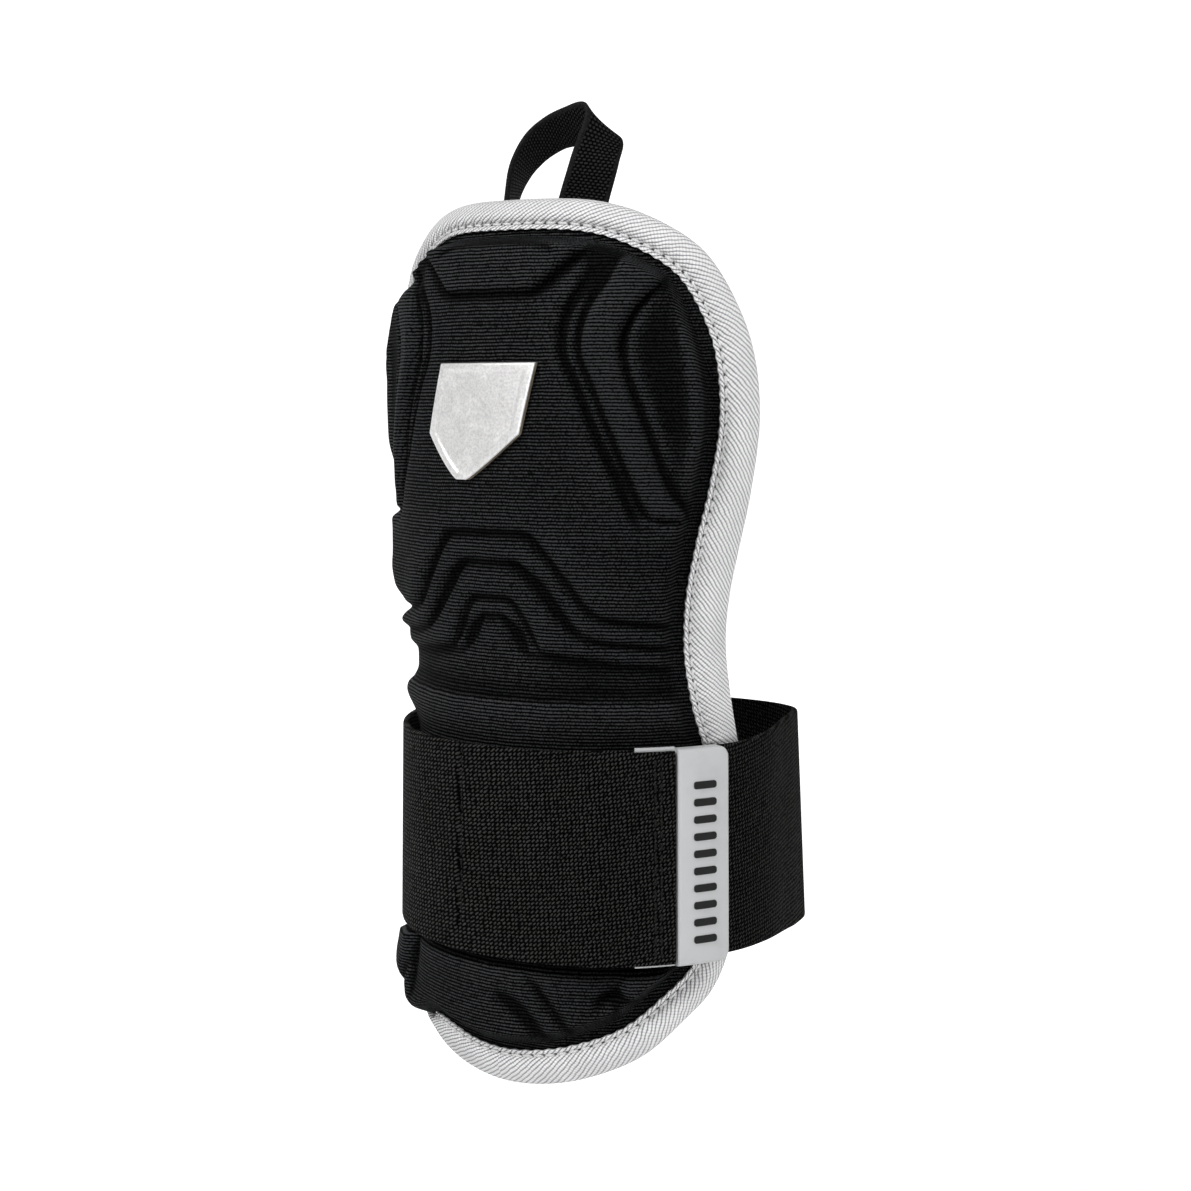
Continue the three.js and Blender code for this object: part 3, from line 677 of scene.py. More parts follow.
class Shell:
    """The patches of one piece, with the place on the cloth of each corner, joined where they meet."""

    def __init__(self):
        self.points, self.lays, self.folds, self.faces = [], [], [], []
        self.count = 0

    def add(self, points, lay, faces, fold=None):
        self.points.append(points.reshape(-1, 3))
        self.lays.append(lay.reshape(-1, 2))
        count = len(self.points[-1])
        # Each point's painted light value, flat unless given.
        self.folds.append(np.full(count, PAINTED_LIGHT_AND_DRAPE.flat) if fold is None else fold.ravel())
        self.faces.extend((faces + self.count).tolist())
        self.count += count
        return self

    def patch(self, points, lay, fold=None):
        """A grid of points, with its places on the cloth in a grid of the same size."""
        return self.add(points, lay, grid_faces(*points.shape[:2]), fold)

    def plate(self, front, back, lay):
        """A plate between two grids of the same size, with its side wall marked 0 in the painted light layer,
        for full painted shade.
        """
        self.patch(front, lay)
        self.patch(back[:, ::-1], lay[:, ::-1])
        wall = np.stack([border_of(front), border_of(back)])
        return self.patch(wall, np.stack([border_of(lay)] * 2), np.zeros(wall.shape[:2]))

    def strip(self, points, lay):
        """A swept strip, with both ends closed by a plain flat end."""
        self.patch(points, lay)
        share = np.linspace(1, 0, END_RINGS)[:, None, None]
        for row in (0, -1):
            middle = points[row, :-1].mean(0)
            end = middle + (points[row] - middle) * share
            self.patch(end, np.broadcast_to(lay[row], (END_RINGS, *lay[row].shape)))
        return self

    def mesh(self, name):
        """The closed mesh, with its places on the cloth and its painted light layer, named fold."""
        mesh = bpy.data.meshes.new(name)
        mesh.from_pydata(np.concatenate(self.points) * MM, [], self.faces)
        corners = np.concatenate([np.ravel(face) for face in self.faces])
        fold = np.concatenate(self.folds)[corners]
        # The fold layer carries each corner's painted shade and highlight.
        layers = {"lay": np.concatenate(self.lays)[corners] * MM, "fold": stack(fold, 0 * fold)}
        for layer, values in layers.items():
            mesh.uv_layers.new(name=layer).uv.foreach_set("vector", values.astype(np.float32).ravel())
        work = bmesh.new()
        work.from_mesh(mesh)
        bmesh.ops.remove_doubles(work, verts=work.verts, dist=WELD * MM)
        bmesh.ops.recalc_face_normals(work, faces=work.faces)
        work.to_mesh(mesh)
        work.free()
        smooth_faces(mesh)
        return mesh

    def piece(self, name, finish, slot, node=None, crease=None):
        """The piece that rides on the guard's body, with its edges kept sharp beyond an angle."""
        mesh = self.mesh(name)
        if crease:
            mesh.set_sharp_from_angle(angle=np.radians(crease))
        mesh.materials.append(finish)
        made = linked(name, mesh)
        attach(made, BODY)
        if node:
            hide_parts(node)
        return made


def operation(name):
    """A method that adds one node of arithmetic to the wires it works on."""
    def work(first, *others):
        return first.nodes.math(name, first, *others)

    return work


class Wire:
    """A value inside a tree of nodes. Arithmetic on wires adds the nodes that work it out."""

    __add__ = __radd__ = operation("ADD")
    __mul__ = __rmul__ = operation("MULTIPLY")
    __sub__ = operation("SUBTRACT")
    __truediv__ = operation("DIVIDE")
    __pow__ = operation("POWER")
    whole = operation("FLOOR")
    part = operation("FRACT")
    absolute = operation("ABSOLUTE")
    sine = operation("SINE")

    def __init__(self, nodes, socket):
        self.nodes = nodes
        self.socket = socket

    def __rsub__(self, other):
        return self.nodes.math("SUBTRACT", other, self)

    def swell(self):
        """A rounded rise and fall over each whole step of the value."""
        return (self.part() * np.pi).sine()

    def step(self, low, high):
        """A soft step from 0 at low to 1 at high."""
        sockets = {"Value": self, "From Min": low, "From Max": high}
        return self.nodes.value("ShaderNodeMapRange", {"interpolation_type": "SMOOTHSTEP"}, sockets)


def socket_names(words):
    """Values by the names of a shader's sockets, from plain words."""
    return {word.replace("_", " ").title().replace("Ior", "IOR"): value for word, value in words.items()}


class Nodes:
    """A tree of nodes, each made by one method."""

    def __init__(self, tree):
        self.tree = tree
        tree.nodes.clear()

    def node(self, kind, settings, sockets):
        """Any node: its type, its settings, then the values or wires of its sockets."""
        made = self.tree.nodes.new(kind)
        for name, value in settings.items():
            setattr(made, name, value)
        self.feed(made, sockets)
        return made

    def feed(self, node, sockets):
        for name, value in sockets.items():
            if isinstance(value, Wire):
                self.tree.links.new(value.socket, node.inputs[name])
            else:
                node.inputs[name].default_value = value

    def value(self, kind, settings, sockets, output=0):
        return Wire(self, self.node(kind, settings, sockets).outputs[output])

    def math(self, operation, *terms):
        return self.value("ShaderNodeMath", {"operation": operation}, dict(enumerate(terms)))


class Finish(Nodes):
    """A material: one shader and the nodes that feed it."""

    def __init__(self, name, **even):
        self.material = bpy.data.materials.new(name)
        self.material.use_nodes = True
        super().__init__(self.material.node_tree)
        self.shader = self.node("ShaderNodeBsdfPrincipled", {}, socket_names(even))
        self.node("ShaderNodeOutputMaterial", {}, {0: Wire(self, self.shader.outputs[0])})

    def mix(self, share, first, second):
        """From the first colour to the second."""
        sockets = {0: share, 6: first, 7: second}
        return self.value("ShaderNodeMix", {"data_type": "RGBA"}, sockets, 2)

    def parts(self, vector):
        """The numbers of a vector, one by one."""
        split = self.node("ShaderNodeSeparateXYZ", {}, {0: vector})
        return [Wire(self, socket) for socket in split.outputs]

    def spot(self):
        return self.value("ShaderNodeTexCoord", {}, {}, "Object")

    def place(self):
        """The place on the cloth, along and across, in millimetres."""
        along, across, _ = self.parts(self.value("ShaderNodeUVMap", {"uv_map": "lay"}, {}))
        return along / MM, across / MM

    def fold(self):
        """The painted light layer, named fold: from 0, full painted shade in a crease or on a side wall, by
        way of the flat, to the most painted highlight on a raised line.
        """
        return self.parts(self.value("ShaderNodeUVMap", {"uv_map": "fold"}, {}))[0]

    def cloud(self, size, detail=2, spread=0.5):
        """Soft random patches of about that size in millimetres."""
        sockets = {"Vector": self.spot(), "Scale": 1 / (size * MM), "Detail": detail, "Roughness": spread}
        return self.value("ShaderNodeTexNoise", {}, sockets)

    def done(self, colour, height=None, depth=0, **varied):
        """The material: its colour, a relief from 0 to 1 for a depth in millimetres, and what else varies."""
        varied["base_color"] = colour
        if height is not None:
            bump = {"Strength": 1, "Distance": depth * MM, "Height": height}
            varied["normal"] = self.value("ShaderNodeBump", {}, bump)
        self.feed(self.shader, socket_names(varied))
        return self.material


def grey(level, warm=0):
    """A grey, a little warm or cool."""
    return (level * (1 + warm), level, level * (1 - warm), 1)


def slanted(run, over):
    """The distances along and across a weave that lies slanted on its strip."""
    return run * SLANT.run + over * SLANT.over, run * SLANT.over - over * SLANT.run


def floats(long_way, cross_way, length, width, shift):
    """The height of rows of raised threads, each row shifted from the last."""
    row = (cross_way / width).whole()
    along_row = long_way / length - row * shift
    return along_row.swell() * (cross_way / width).swell()


def knit_finish():
    """Black ribbed knit: fine courses that run across the pad, each of small loops."""
    finish = Finish("ribbed_black_knit", specular_ior_level=0.02)
    across, level = finish.place()
    course = level / KNIT.course + finish.cloud(6, 2) * KNIT.stray
    loop = (across / KNIT.loop + course.whole() * 0.5).swell()
    yarn = course.swell() * (0.72 + loop * 0.28)
    fuzz = finish.cloud(0.5, 2, 0.85)
    # fold() brings painted shade in creases and painted highlight on raised lines into the pale yarn.
    shade = (yarn * (fuzz * 2.2 - 0.1)).step(0.45, 1.1) * (0.25 + finish.fold() * 1.5)
    patch = finish.cloud(26, 1).step(0.35, 0.7)
    light = finish.mix(patch, grey(0.052, -0.05), grey(0.06, -0.04))
    colour = finish.mix(shade, grey(0.0006), light)
    rough = 0.78 - yarn * 0.14 + fuzz * 0.1
    return finish.done(colour, yarn + fuzz * 0.25, depth=0.2, roughness=rough)


def tape_finish():
    """Pale grey woven tape: slanting ribs, painted shade in the weave's gaps near the inner lip, and needle
    holes along the sewn line.
    """
    finish = Finish("pale_woven_tape", specular_ior_level=0.1)
    run, over = finish.place()
    stray = (finish.cloud(2.2) - 0.5) * 0.35
    long_way, cross_way = slanted(run, over)
    rib = ((long_way + stray) / WEAVE.rib).swell()
    weave = rib ** 0.8 * (0.56 + (cross_way / WEAVE.cross).swell() * 0.44)
    fuzz = finish.cloud(0.3, 1, 0.7)
    shade = (weave * 0.85 + fuzz * 0.3).step(0.1, 0.9)
    soil = finish.cloud(11).step(0.3, 0.75)
    light = finish.mix(soil, grey(0.8), grey(0.88))
    # Painted shade: the weave's gaps darken towards the inner lip by the groove.
    gap = finish.mix(over.step(1.5, 7), (0.12, 0.115, 0.135, 1), (0.27, 0.26, 0.285, 1))
    colour = finish.mix(shade, gap, light)
    beside = (over - STITCH.inset).absolute().step(0.42, 0.18)
    hole = ((run / STITCH.pitch).part() - 0.5).absolute().step(0.34, 0.42)
    colour = finish.mix(hole * beside, colour, grey(0.06))
    return finish.done(colour, weave + fuzz * 0.2, depth=0.22, roughness=0.9 - weave * 0.15)


def thread_finish(name, light, dark):
    """Twisted sewing thread."""
    finish = Finish(name, specular_ior_level=0.15)
    run, around = finish.place()
    twist = (run / 0.42 + around / 0.9).swell()
    colour = finish.mix(twist, dark, light)
    return finish.done(colour, twist, depth=0.06, roughness=0.75 - twist * 0.2)


def elastic_finish():
    """Warm black woven elastic: slanting rows of short floats."""
    finish = Finish("black_woven_elastic", specular_ior_level=0.02)
    stray = (finish.cloud(1.6, 2) - 0.5) * 1.1
    long_way, cross_way = slanted(*finish.place())
    thread = floats(long_way + stray, cross_way + stray * 0.4, length=1.35, width=0.64, shift=0.5)
    fuzz = finish.cloud(0.6, 2, 0.85)
    weave = thread ** 0.8
    shade = (weave * (fuzz * 2.4 - 0.2)).step(0.35, 1)
    patch = finish.cloud(18, 1).step(0.3, 0.7)
    light = finish.mix(patch, grey(0.056, 0.03), grey(0.064, 0.025))
    colour = finish.mix(shade, grey(0.001, 0.1), light)
    return finish.done(colour, weave + fuzz * 0.35, depth=0.3, roughness=0.85 - weave * 0.15)


def loop_finish():
    """Black narrow elastic: ribs across, broken into short floats, between smooth edges."""
    finish = Finish("black_ribbed_elastic", specular_ior_level=0.02)
    run, over = finish.place()
    stray = (finish.cloud(1.2) - 0.5) * 0.3
    thread = floats(over + stray, run + stray * 0.4, length=1.1, width=0.72, shift=0.4)
    middle = over.absolute().step(4.75, 4.2)
    fuzz = finish.cloud(0.3, 1, 0.7)
    weave = thread ** 0.7 * middle + 0.6 * (1 - middle)
    shade = (weave * (0.4 + fuzz * 1.2)).step(0.25, 1.1)
    colour = finish.mix(shade, grey(0.0008), grey(0.048))
    return finish.done(colour, weave + fuzz * 0.25, depth=0.2, roughness=0.82 - weave * 0.16)


def rubber_finish():
    """Matt pale grey moulded rubber with a fine grain and faint handling marks."""
    finish = Finish("pale_moulded_rubber", specular_ior_level=0.4)
    grain = finish.cloud(0.22, 2, 0.6)
    marks = finish.cloud(6, 4, 0.6).step(0.45, 0.75)
    colour = finish.mix(marks, grey(0.49, -0.014), grey(0.455, -0.018))
    rough = 0.46 + grain * 0.12 + marks * 0.06
    return finish.done(colour, grain, depth=0.02, roughness=rough)


def grip_finish():
    """Black moulded rubber of the grip bars."""
    finish = Finish("black_moulded_rubber", specular_ior_level=0.4)
    grain = finish.cloud(0.25, 2, 0.6)
    colour = finish.mix(grain, grey(0.011, -0.03), grey(0.02, -0.03))
    return finish.done(colour, grain, depth=0.03, roughness=0.5 + grain * 0.15)


def silver_finish():
    """Satin silver with a fine grain, a little wear and painted shade on its side wall."""
    finish = Finish("satin_silver", specular_ior_level=0.5)
    speckle = finish.cloud(0.5, 3, 0.75).step(0.25, 0.7)
    wear = finish.cloud(3.2, 4, 0.6).step(0.45, 0.7)
    face = finish.mix(speckle, grey(0.72, 0.008), grey(0.98, 0.006))
    # Painted shade: the side wall, 0 in the fold layer, is dark brown.
    colour = finish.mix(finish.fold().step(0.1, 0.4), (0.33, 0.28, 0.22, 1), face)
    rough = 0.36 + speckle * 0.16 + wear * 0.08
    return finish.done(colour, speckle, depth=0.02, roughness=rough, metallic=0.55 - wear * 0.1)


def blurred(field, reach):
    """The values of a grid, averaged softly over a number of cells."""
    steps = np.arange(-3 * reach, 3 * reach + 1)
    weight = hump(steps, 1.4 * reach)
    weight /= weight.sum()

    def soften(row):
        return np.convolve(np.pad(row, 3 * reach, "edge"), weight, "valid")

    return np.apply_along_axis(soften, 1, np.apply_along_axis(soften, 0, field))


def painted_relief_light(across, z, relief, body):
    """Painted light on the knit at each spot: painted shade in a crease and on the shoulder, flat, or painted
    highlight over a raised line or panel.
    """
    side = np.abs(across)
    # Painted shade in hollows and painted highlight on rises, from the relief less its blur.
    fine = PAINTED_LIGHT_AND_DRAPE.fine * (relief - blurred(relief, PAINTED_LIGHT_AND_DRAPE.fine_cells))
    broad = PAINTED_LIGHT_AND_DRAPE.broad * (relief - blurred(relief, PAINTED_LIGHT_AND_DRAPE.broad_cells))
    # Painted highlight on the raised band panel, painted shade on the lower panels.
    panels = np.maximum(flank_panels(side, z), PAINTED_LIGHT_AND_DRAPE.lowest_panel)
    lines = PAINTED_LIGHT_AND_DRAPE.line * sum(pressed(HAND_CREASES[name], side, z) for name in RAISED_LINES)
    # Painted shade down the middle of the shoulder by the tape.
    shoulder = PAINTED_LIGHT_AND_DRAPE.shoulder * body * (1 - body)
    return np.clip(PAINTED_LIGHT_AND_DRAPE.flat + (fine + broad + panels - lines) * body - shoulder, 0, PAINTED_LIGHT_AND_DRAPE.most)


def cut_edge(shell, border):
    """Closes the pad between its fine outside and its plain inside, which has half as many points."""
    outer = pad_point(*border.T, PAD.rim)
    inner = pad_point(*border[::2].T, 0)
    near = np.arange(0, len(outer) - 1, 2)
    far = len(outer) + np.arange(len(inner) - 1)
    fans = ((near, near + 1, far), (near + 1, far + 1, far), (near + 1, near + 2, far + 1))
    walls = np.concatenate([np.stack(fan, -1) for fan in fans])
    shell.add(np.concatenate([outer, inner]), np.concatenate([border, border[::2]]), walls)


def padded_shield(pattern):
    """The moulded pad: a finely pressed outside over a plain inside, closed by the cut edge."""
    border = border_of(pattern)
    way_in = from_edge(pattern, border)
    inward = np.linalg.norm(way_in, axis=-1)
    across, z = pattern[..., 0], pattern[..., 1]
    relief = pad_relief(across, z)
    body = pad_body(across, z, inward)
    rim = rim_height(inward)
    height = rim + (relief - rim) * body
    slope = PAINTED_LIGHT_AND_DRAPE.drape * (relief - height) / np.maximum(inward, 1)
    lay = pattern - way_in * slope[..., None]
    shell = Shell().patch(pad_point(across, z, height), lay, painted_relief_light(across, z, relief, body))
    plain = pattern[::2, ::2]
    shell.patch(pad_point(plain[..., 0], plain[..., 1], 0)[:, ::-1], plain[:, ::-1])
    cut_edge(shell, border)
    pad = shell.piece("padded_shield", knit_finish(), "knit", "moulded_pad")
    return pad


def tape_line(line):
    """Stations along the cut edge with the way in from it, and the distance along the sewn line."""
    run = run_length(line)
    spots = between(line, run, np.linspace(0, run[-1], TAPE.stations + 1))
    spots[-1] = spots[0]
    ahead = unit(np.roll(spots[:-1], -1, axis=0) - np.roll(spots[:-1], 1, axis=0))
    inward = stack(-ahead[:, 1], ahead[:, 0])
    inward = np.concatenate([inward, inward[:1]])
    sewn = spots + inward * (tape_reach(*spots.T) - STITCH.inset)[:, None]
    return spots, inward, run_length(sewn)


def tape_front(lip, wave):
    """The outside of the folded tape, from its lip to the fold."""
    inward = lip + (TAPE.fold - lip) * np.linspace(0, 1, 30)
    from_lip = lip - inward
    groove = TAPE.groove * (1 - TAPE.groove_wave * wave) * hump(from_lip - STITCH.inset, TAPE.groove_half)
    thin = (TAPE.thick - TAPE.lip) * ease(TAPE.thin_to - from_lip, TAPE.thin_soft)
    share = np.clip((from_lip - TAPE.puff_from) / (lip - TAPE.puff_from - TAPE.puff_to), 0, 1)
    puff = TAPE.puff * (1 + TAPE.puff_wave * wave) * np.sin(np.pi * share) ** 0.8
    return inward, rim_height(inward) + TAPE_NOSE - thin - groove + puff


def tape_fold(lip):
    """The round fold over the cut edge."""
    bend = np.linspace(0, np.pi, 16)[1:-1]
    middle = PAD.rim / 2
    inward = TAPE.fold - (TAPE.fold + TAPE_NOSE) * np.sin(bend) ** 0.85
    height = middle + (middle + TAPE_NOSE + TAPE.fold_high) * np.cos(bend)
    wide = np.ones_like(lip)
    return inward * wide, height * wide


def tape_back(lip):
    """The tape's face against the hand, from the fold to its lip."""
    inward = TAPE.fold + (lip - TAPE.fold) * np.linspace(0, 1, 18)
    from_lip = lip - inward
    groove = TAPE.back_groove * hump(from_lip - STITCH.inset, TAPE.groove_half)
    return inward, groove - TAPE_NOSE + TAPE.back_lip * ease(2 - from_lip, TAPE.thin_soft)


def tape_lining(lip):
    """The tape's inside, along the pad's inside face, round the cut edge and out again in front."""
    back = lip + (-TAPE.gap - lip) * np.linspace(0, 1, 5)
    front = back[..., ::-1]
    close = TAPE.gap * (0.2 + 0.8 * ease(lip - front - 1.5, 2))
    back_height = np.full_like(back, -TAPE.gap)
    front_height = rim_height(np.maximum(front, 0)) + close
    return np.concatenate([back, front], -1), np.concatenate([back_height, front_height], -1)


def tape_section(reach, wave):
    """The folded tape's outline as inward distance and height, from the front lip round to it again."""
    lip = reach + STITCH.scallop * wave
    sides = (tape_front(lip, wave), tape_fold(lip), tape_back(lip), tape_lining(lip))
    inward, height = (np.concatenate(column, -1) for column in zip(*sides))
    return (np.concatenate([column, column[..., :1]], -1) for column in (inward, height))


def lay_thread(shell, line_at):
    """One stitch: a short thread along a line, its ends drawn in to a point."""
    line = line_at(0)
    up = unit(line_at(0.1) - line)
    beside = unit(np.cross(np.gradient(line, axis=0), up))
    turn = np.linspace(0, 2 * np.pi, 9)
    taper = (STITCH_BOW ** 0.35)[:, None, None]
    ring = STITCH.wide * np.cos(turn)[:, None] * beside[:, None]
    ring = ring + STITCH.high * np.sin(turn)[:, None] * up[:, None]
    run = run_length(line)
    shell.patch(line[:, None] + ring * taper, stack(run[:, None], turn[None] * STITCH.wide))


def binding_stitches(spots, way_in, run, count):
    """A row of stitches along the tape's outside and another along its inside."""
    seams = Shell()
    for outside in (True, False):
        for k in range(count):
            places = ((k + 0.5) * STITCH.pitch + STITCH_SPREAD * STITCH.long) % run[-1]
            spot = between(spots, run, places)
            inset = tape_reach(*spot.T) - STITCH.inset
            flat = spot + between(way_in, run, places) * inset[:, None]
            lift = STITCH.back_sunk - TAPE_NOSE - STITCH.back_bow * STITCH_BOW
            if outside:
                lift = rim_height(inset) + TAPE_NOSE - STITCH.front_sunk + STITCH.front_bow * STITCH_BOW
            lay_thread(seams, lambda up: pad_point(*flat.T, lift + up))
    thread = thread_finish("pale_thread", grey(0.78), grey(0.5))
    return seams.piece("binding_stitches", thread, "tape")


def edge_binding(line):
    """The tape folded over the pad's edge, all the way round, with its stitches."""
    spots, way_in, sewn = tape_line(line)
    count = round(sewn[-1] / STITCH.pitch)
    run = sewn * (count * STITCH.pitch / sewn[-1])
    wave = -np.cos(2 * np.pi * run / STITCH.pitch)[:, None]
    inward, height = tape_section(tape_reach(*spots.T)[:, None], wave)
    across = spots[:, :1] + way_in[:, :1] * inward
    z = spots[:, 1:] + way_in[:, 1:] * inward
    over = np.hypot(np.diff(inward, axis=1), np.diff(height, axis=1)).cumsum(1)
    over = np.pad(over, ((0, 0), (1, 0)))
    shell = Shell().patch(pad_point(across, z, height), stack(run[:, None], over))
    tape = shell.piece("binding_tape", tape_finish(), "tape", "edge_binding")
    stitches = binding_stitches(spots, way_in, run, count)
    flat_size = (float(over[0, -1] / 2 * MM), float(run_length(pad_point(*spots.T, 0))[-1] * MM))
    return tape


def strip_section(half, thick, columns):
    """A flat strip's outline with round edges: distances from its middle line, depths from its mid face."""
    side = np.linspace(-1, 1, columns) * (half - thick / 2)
    bend = np.linspace(np.pi / 2, -np.pi / 2, 7)[1:-1]
    edge = half - thick / 2 + thick / 2 * np.cos(bend)
    face = np.ones(columns)
    sides = np.concatenate([side, edge, side[::-1], -edge, side[:1]])
    depth = thick / 2 * np.concatenate([face, np.sin(bend), -face, -np.sin(bend), face[:1]])
    return sides, depth


def finger_loop():
    """The elastic loop for a finger, whose feet lie flat behind the top of the pad."""
    knots = stack(LOOP_PATH["x"], LOOP_PATH["y"], LOOP_PATH["z"])
    line = smooth_line(knots, LOOP.samples, closed=False)
    station = np.linspace(0, len(knots) - 1, len(line))
    rows = dict(LOOP_PATH, k=np.arange(len(knots), dtype=float))
    yaw, pitch = (np.radians(through(rows, "k", column)(station)) for column in ("yaw", "pitch"))
    across = stack(np.cos(yaw) * np.cos(pitch), np.sin(yaw) * np.cos(pitch), np.sin(pitch))
    out = unit(np.cross(np.gradient(line, axis=0), across))
    sides, depth = strip_section(LOOP.width / 2, LOOP.thick, LOOP.columns)
    points = line[:, None] + across[:, None] * sides[:, None] + out[:, None] * depth[:, None]
    run = run_length(line)
    shell = Shell().strip(points, stack(run[:, None], sides))
    loop = shell.piece("loop_webbing", loop_finish(), "elastic", "finger_loop")
    return loop


def strap_spot(turn, level, out_by):
    """A point of the strap by its turn, its level from the strap's middle and the depth from its mid face."""
    ahead = around_wrist(turn + 0.5, strap_radius(turn + 0.5), 0)
    ahead = unit(ahead - around_wrist(turn - 0.5, strap_radius(turn - 0.5), 0))
    out = stack(ahead[..., 1], -ahead[..., 0], np.zeros_like(ahead[..., 0]))
    grown = strap_radius(turn) + strap_flare(turn) * (0.5 - level / (2 * STRAP.half))
    wider = 1 + STRAP.wider * hump(turn - STRAP.wide_turn, STRAP.wide_half)
    return around_wrist(turn, grown, level * wider + strap_lift(turn)) + out * np.asarray(out_by)[..., None]


def strap_face(run, level, depth, seam_run):
    """The depth of the strap's faces, sunk along the seam and the hem in front."""
    span = ease(level - STRAP.seam_low, STRAP.seam_soft) * ease(STRAP.seam_high - level, STRAP.seam_soft)
    groove = STRAP.seam_depth * hump(run - seam_run, STRAP.seam_half) * span
    hem = run[-1] - run
    sewn = STRAP.hem_depth * sum(hump(hem - inset, STRAP.hem_half) for inset in STRAP.hem_rows)
    return depth - np.where(depth > 0, groove + sewn, 0)


def slack_run(turn, run):
    """The distance along the strap as it lay before it was stretched across the pad."""
    drawn = STRAP.drawn * ease(turn - STRAP.drawn_from, STRAP.drawn_soft)
    drawn = drawn * ease(STRAP.drawn_to - turn, STRAP.drawn_soft)
    return np.append(0, np.cumsum((1 - drawn[1:]) * np.diff(run)))


def strap_stitches(turn, run, seam_run):
    """A seam across the front of the strap and a double row by the tab."""
    rows = [(seam_run, STRAP.seam_low, STRAP.seam_high, STRAP.seam_depth)]
    for inset in STRAP.hem_rows:
        rows.append((run[-1] - inset, STRAP.hem_low, STRAP.hem_high, STRAP.hem_depth))
    seams = Shell()
    for place, low, high, sunk in rows:
        at = np.interp(place, run, turn)
        count = round((high - low) / SEAM.pitch)
        for k in range(count):
            level = low + (k + 0.5) * (high - low) / count + STITCH_SPREAD * SEAM.long
            lift = STRAP.thick / 2 - sunk - SEAM.sunk + SEAM.bow * STITCH_BOW
            turns = np.full_like(level, at)
            lay_thread(seams, lambda up: strap_spot(turns, level, lift + up))
    thread = thread_finish("black_thread", grey(0.02, 0.05), grey(0.004))
    return seams.piece("strap_stitches", thread, "elastic")


def wrist_strap():
    """The wide elastic strap, once round the wrist and onto itself, with its stitches."""
    turn = np.linspace(STRAP_PATH["turn"][0], STRAP_PATH["turn"][-1], STRAP.steps + 1)
    run = run_length(strap_spot(turn, 0 * turn, 0 * turn))
    level, depth = strip_section(STRAP.half, STRAP.thick, STRAP.columns)
    seam_run = np.interp(STRAP.seam_turn, turn, run)
    face = strap_face(run[:, None], level[None], depth[None], seam_run)
    points = strap_spot(turn[:, None] + 0 * level, level + 0 * run[:, None], face)
    shell = Shell().strip(points, stack(slack_run(turn, run)[:, None], level))
    strap = shell.piece("strap_webbing", elastic_finish(), "elastic", "wrist_strap")
    stitches = strap_stitches(turn, run, seam_run)
    return strap


def graded(start, end, bevel, steps):
    """Places from start to end, close together along a rounded edge at either end."""
    near = bevel * (1 - np.cos(np.linspace(0, np.pi / 2, BEVEL_STEPS)))
    inner = np.linspace(start + bevel, end - bevel, steps)[1:-1]
    return np.concatenate([start + near, inner, (end - near)[::-1]])


def rounded(distance, bevel):
    """How far a face has dropped at a distance from its rounded edge."""
    short = np.clip(bevel - distance, 0, bevel)
    return bevel - np.sqrt(bevel ** 2 - short ** 2)


def tab_spot(x, z, radius):
    """A point of the tab by its distance along from the plate's start, its level and its radius."""
    lean = TAB.flare * (0.5 - z / (2 * TAB.half_plate))
    return around_wrist(TAB.plate_from + x / TAB_DEGREE, radius + lean, z)


def tab_plate(rows):
    """The tab's plate, with two round corners: distances along, levels and the radius of its front."""
    wide = (TAB.plate_to - TAB.plate_from) * TAB_DEGREE
    corner = TAB.corner
    straight = graded(0, wide - corner, TAB.bevel, 24)[:-BEVEL_STEPS]
    curved = wide - corner + corner * np.sin(np.linspace(0, np.pi / 2, 14))
    x = np.concatenate([straight, curved])[:, None]
    z = rows * (TAB.half_plate - rounded(wide - x, corner))
    inner_x = np.abs(x - wide / 2) - (wide / 2 - corner)
    inner_z = np.abs(z) - (TAB.half_plate - corner)
    beyond = np.hypot(np.maximum(inner_x, 0), np.maximum(inner_z, 0))
    round_gap = corner - beyond - np.minimum(np.maximum(inner_x, inner_z), 0)
    square_gap = np.minimum(x, TAB.half_plate - np.abs(z))
    gap = np.where(x > wide / 2, round_gap, square_gap)
    return x, z, TAB.plate_front - rounded(np.maximum(gap, 0), TAB.bevel)


def rubber_tab():
    """The moulded end of the strap: a rounded plate and a thin tongue."""
    rows = graded(-1, 1, TAB.bevel / TAB.half_plate, 60)[None]
    x, z, front = tab_plate(rows)
    tongue_x = np.linspace((TAB.tongue_from - TAB.plate_from) * TAB_DEGREE, 0, 10)[:, None]
    tongue_z = rows * np.full_like(tongue_x, TAB.half_tongue)
    x = np.concatenate([tongue_x, x])
    z = np.concatenate([tongue_z, z])
    front = np.concatenate([np.full_like(tongue_z, TAB.tongue_front), front])
    shell = Shell().plate(tab_spot(x, z, front), tab_spot(x, z, TAB.back), stack(x, z))
    return shell.piece("rubber_tab", rubber_finish(), "rubber", "strap_tab", crease=40)


def tab_grips():
    """A row of plain low bars on the tab's plate, with round ends."""
    tall, corner = GRIPS.tall, GRIPS.corner
    start = (GRIPS.turn_from - TAB.plate_from) * TAB_DEGREE
    long = (GRIPS.turn_to - GRIPS.turn_from) * TAB_DEGREE
    x = graded(0, long, corner, 12)[:, None]
    level = graded(-tall / 2, tall / 2, corner, 4)[None]
    from_end = np.minimum(x, long - x)
    gap = np.minimum(from_end + GRIPS.end_wall, tall / 2 - np.abs(level) + GRIPS.side_wall)
    height = TAB.plate_front + GRIPS.rise - rounded(gap, GRIPS.bevel)
    level = level * (1 - rounded(from_end, corner) / (tall / 2))
    bars = Shell()
    for middle in np.linspace(GRIPS.top - tall / 2, GRIPS.bottom + tall / 2, GRIPS.count):
        z = middle + level
        foot = tab_spot(start + x, z, TAB.plate_front + GRIPS.foot)
        bars.plate(tab_spot(start + x, z, height), foot, stack(x, z))
    return bars.piece("tab_grips", grip_finish(), "rubber", crease=50)


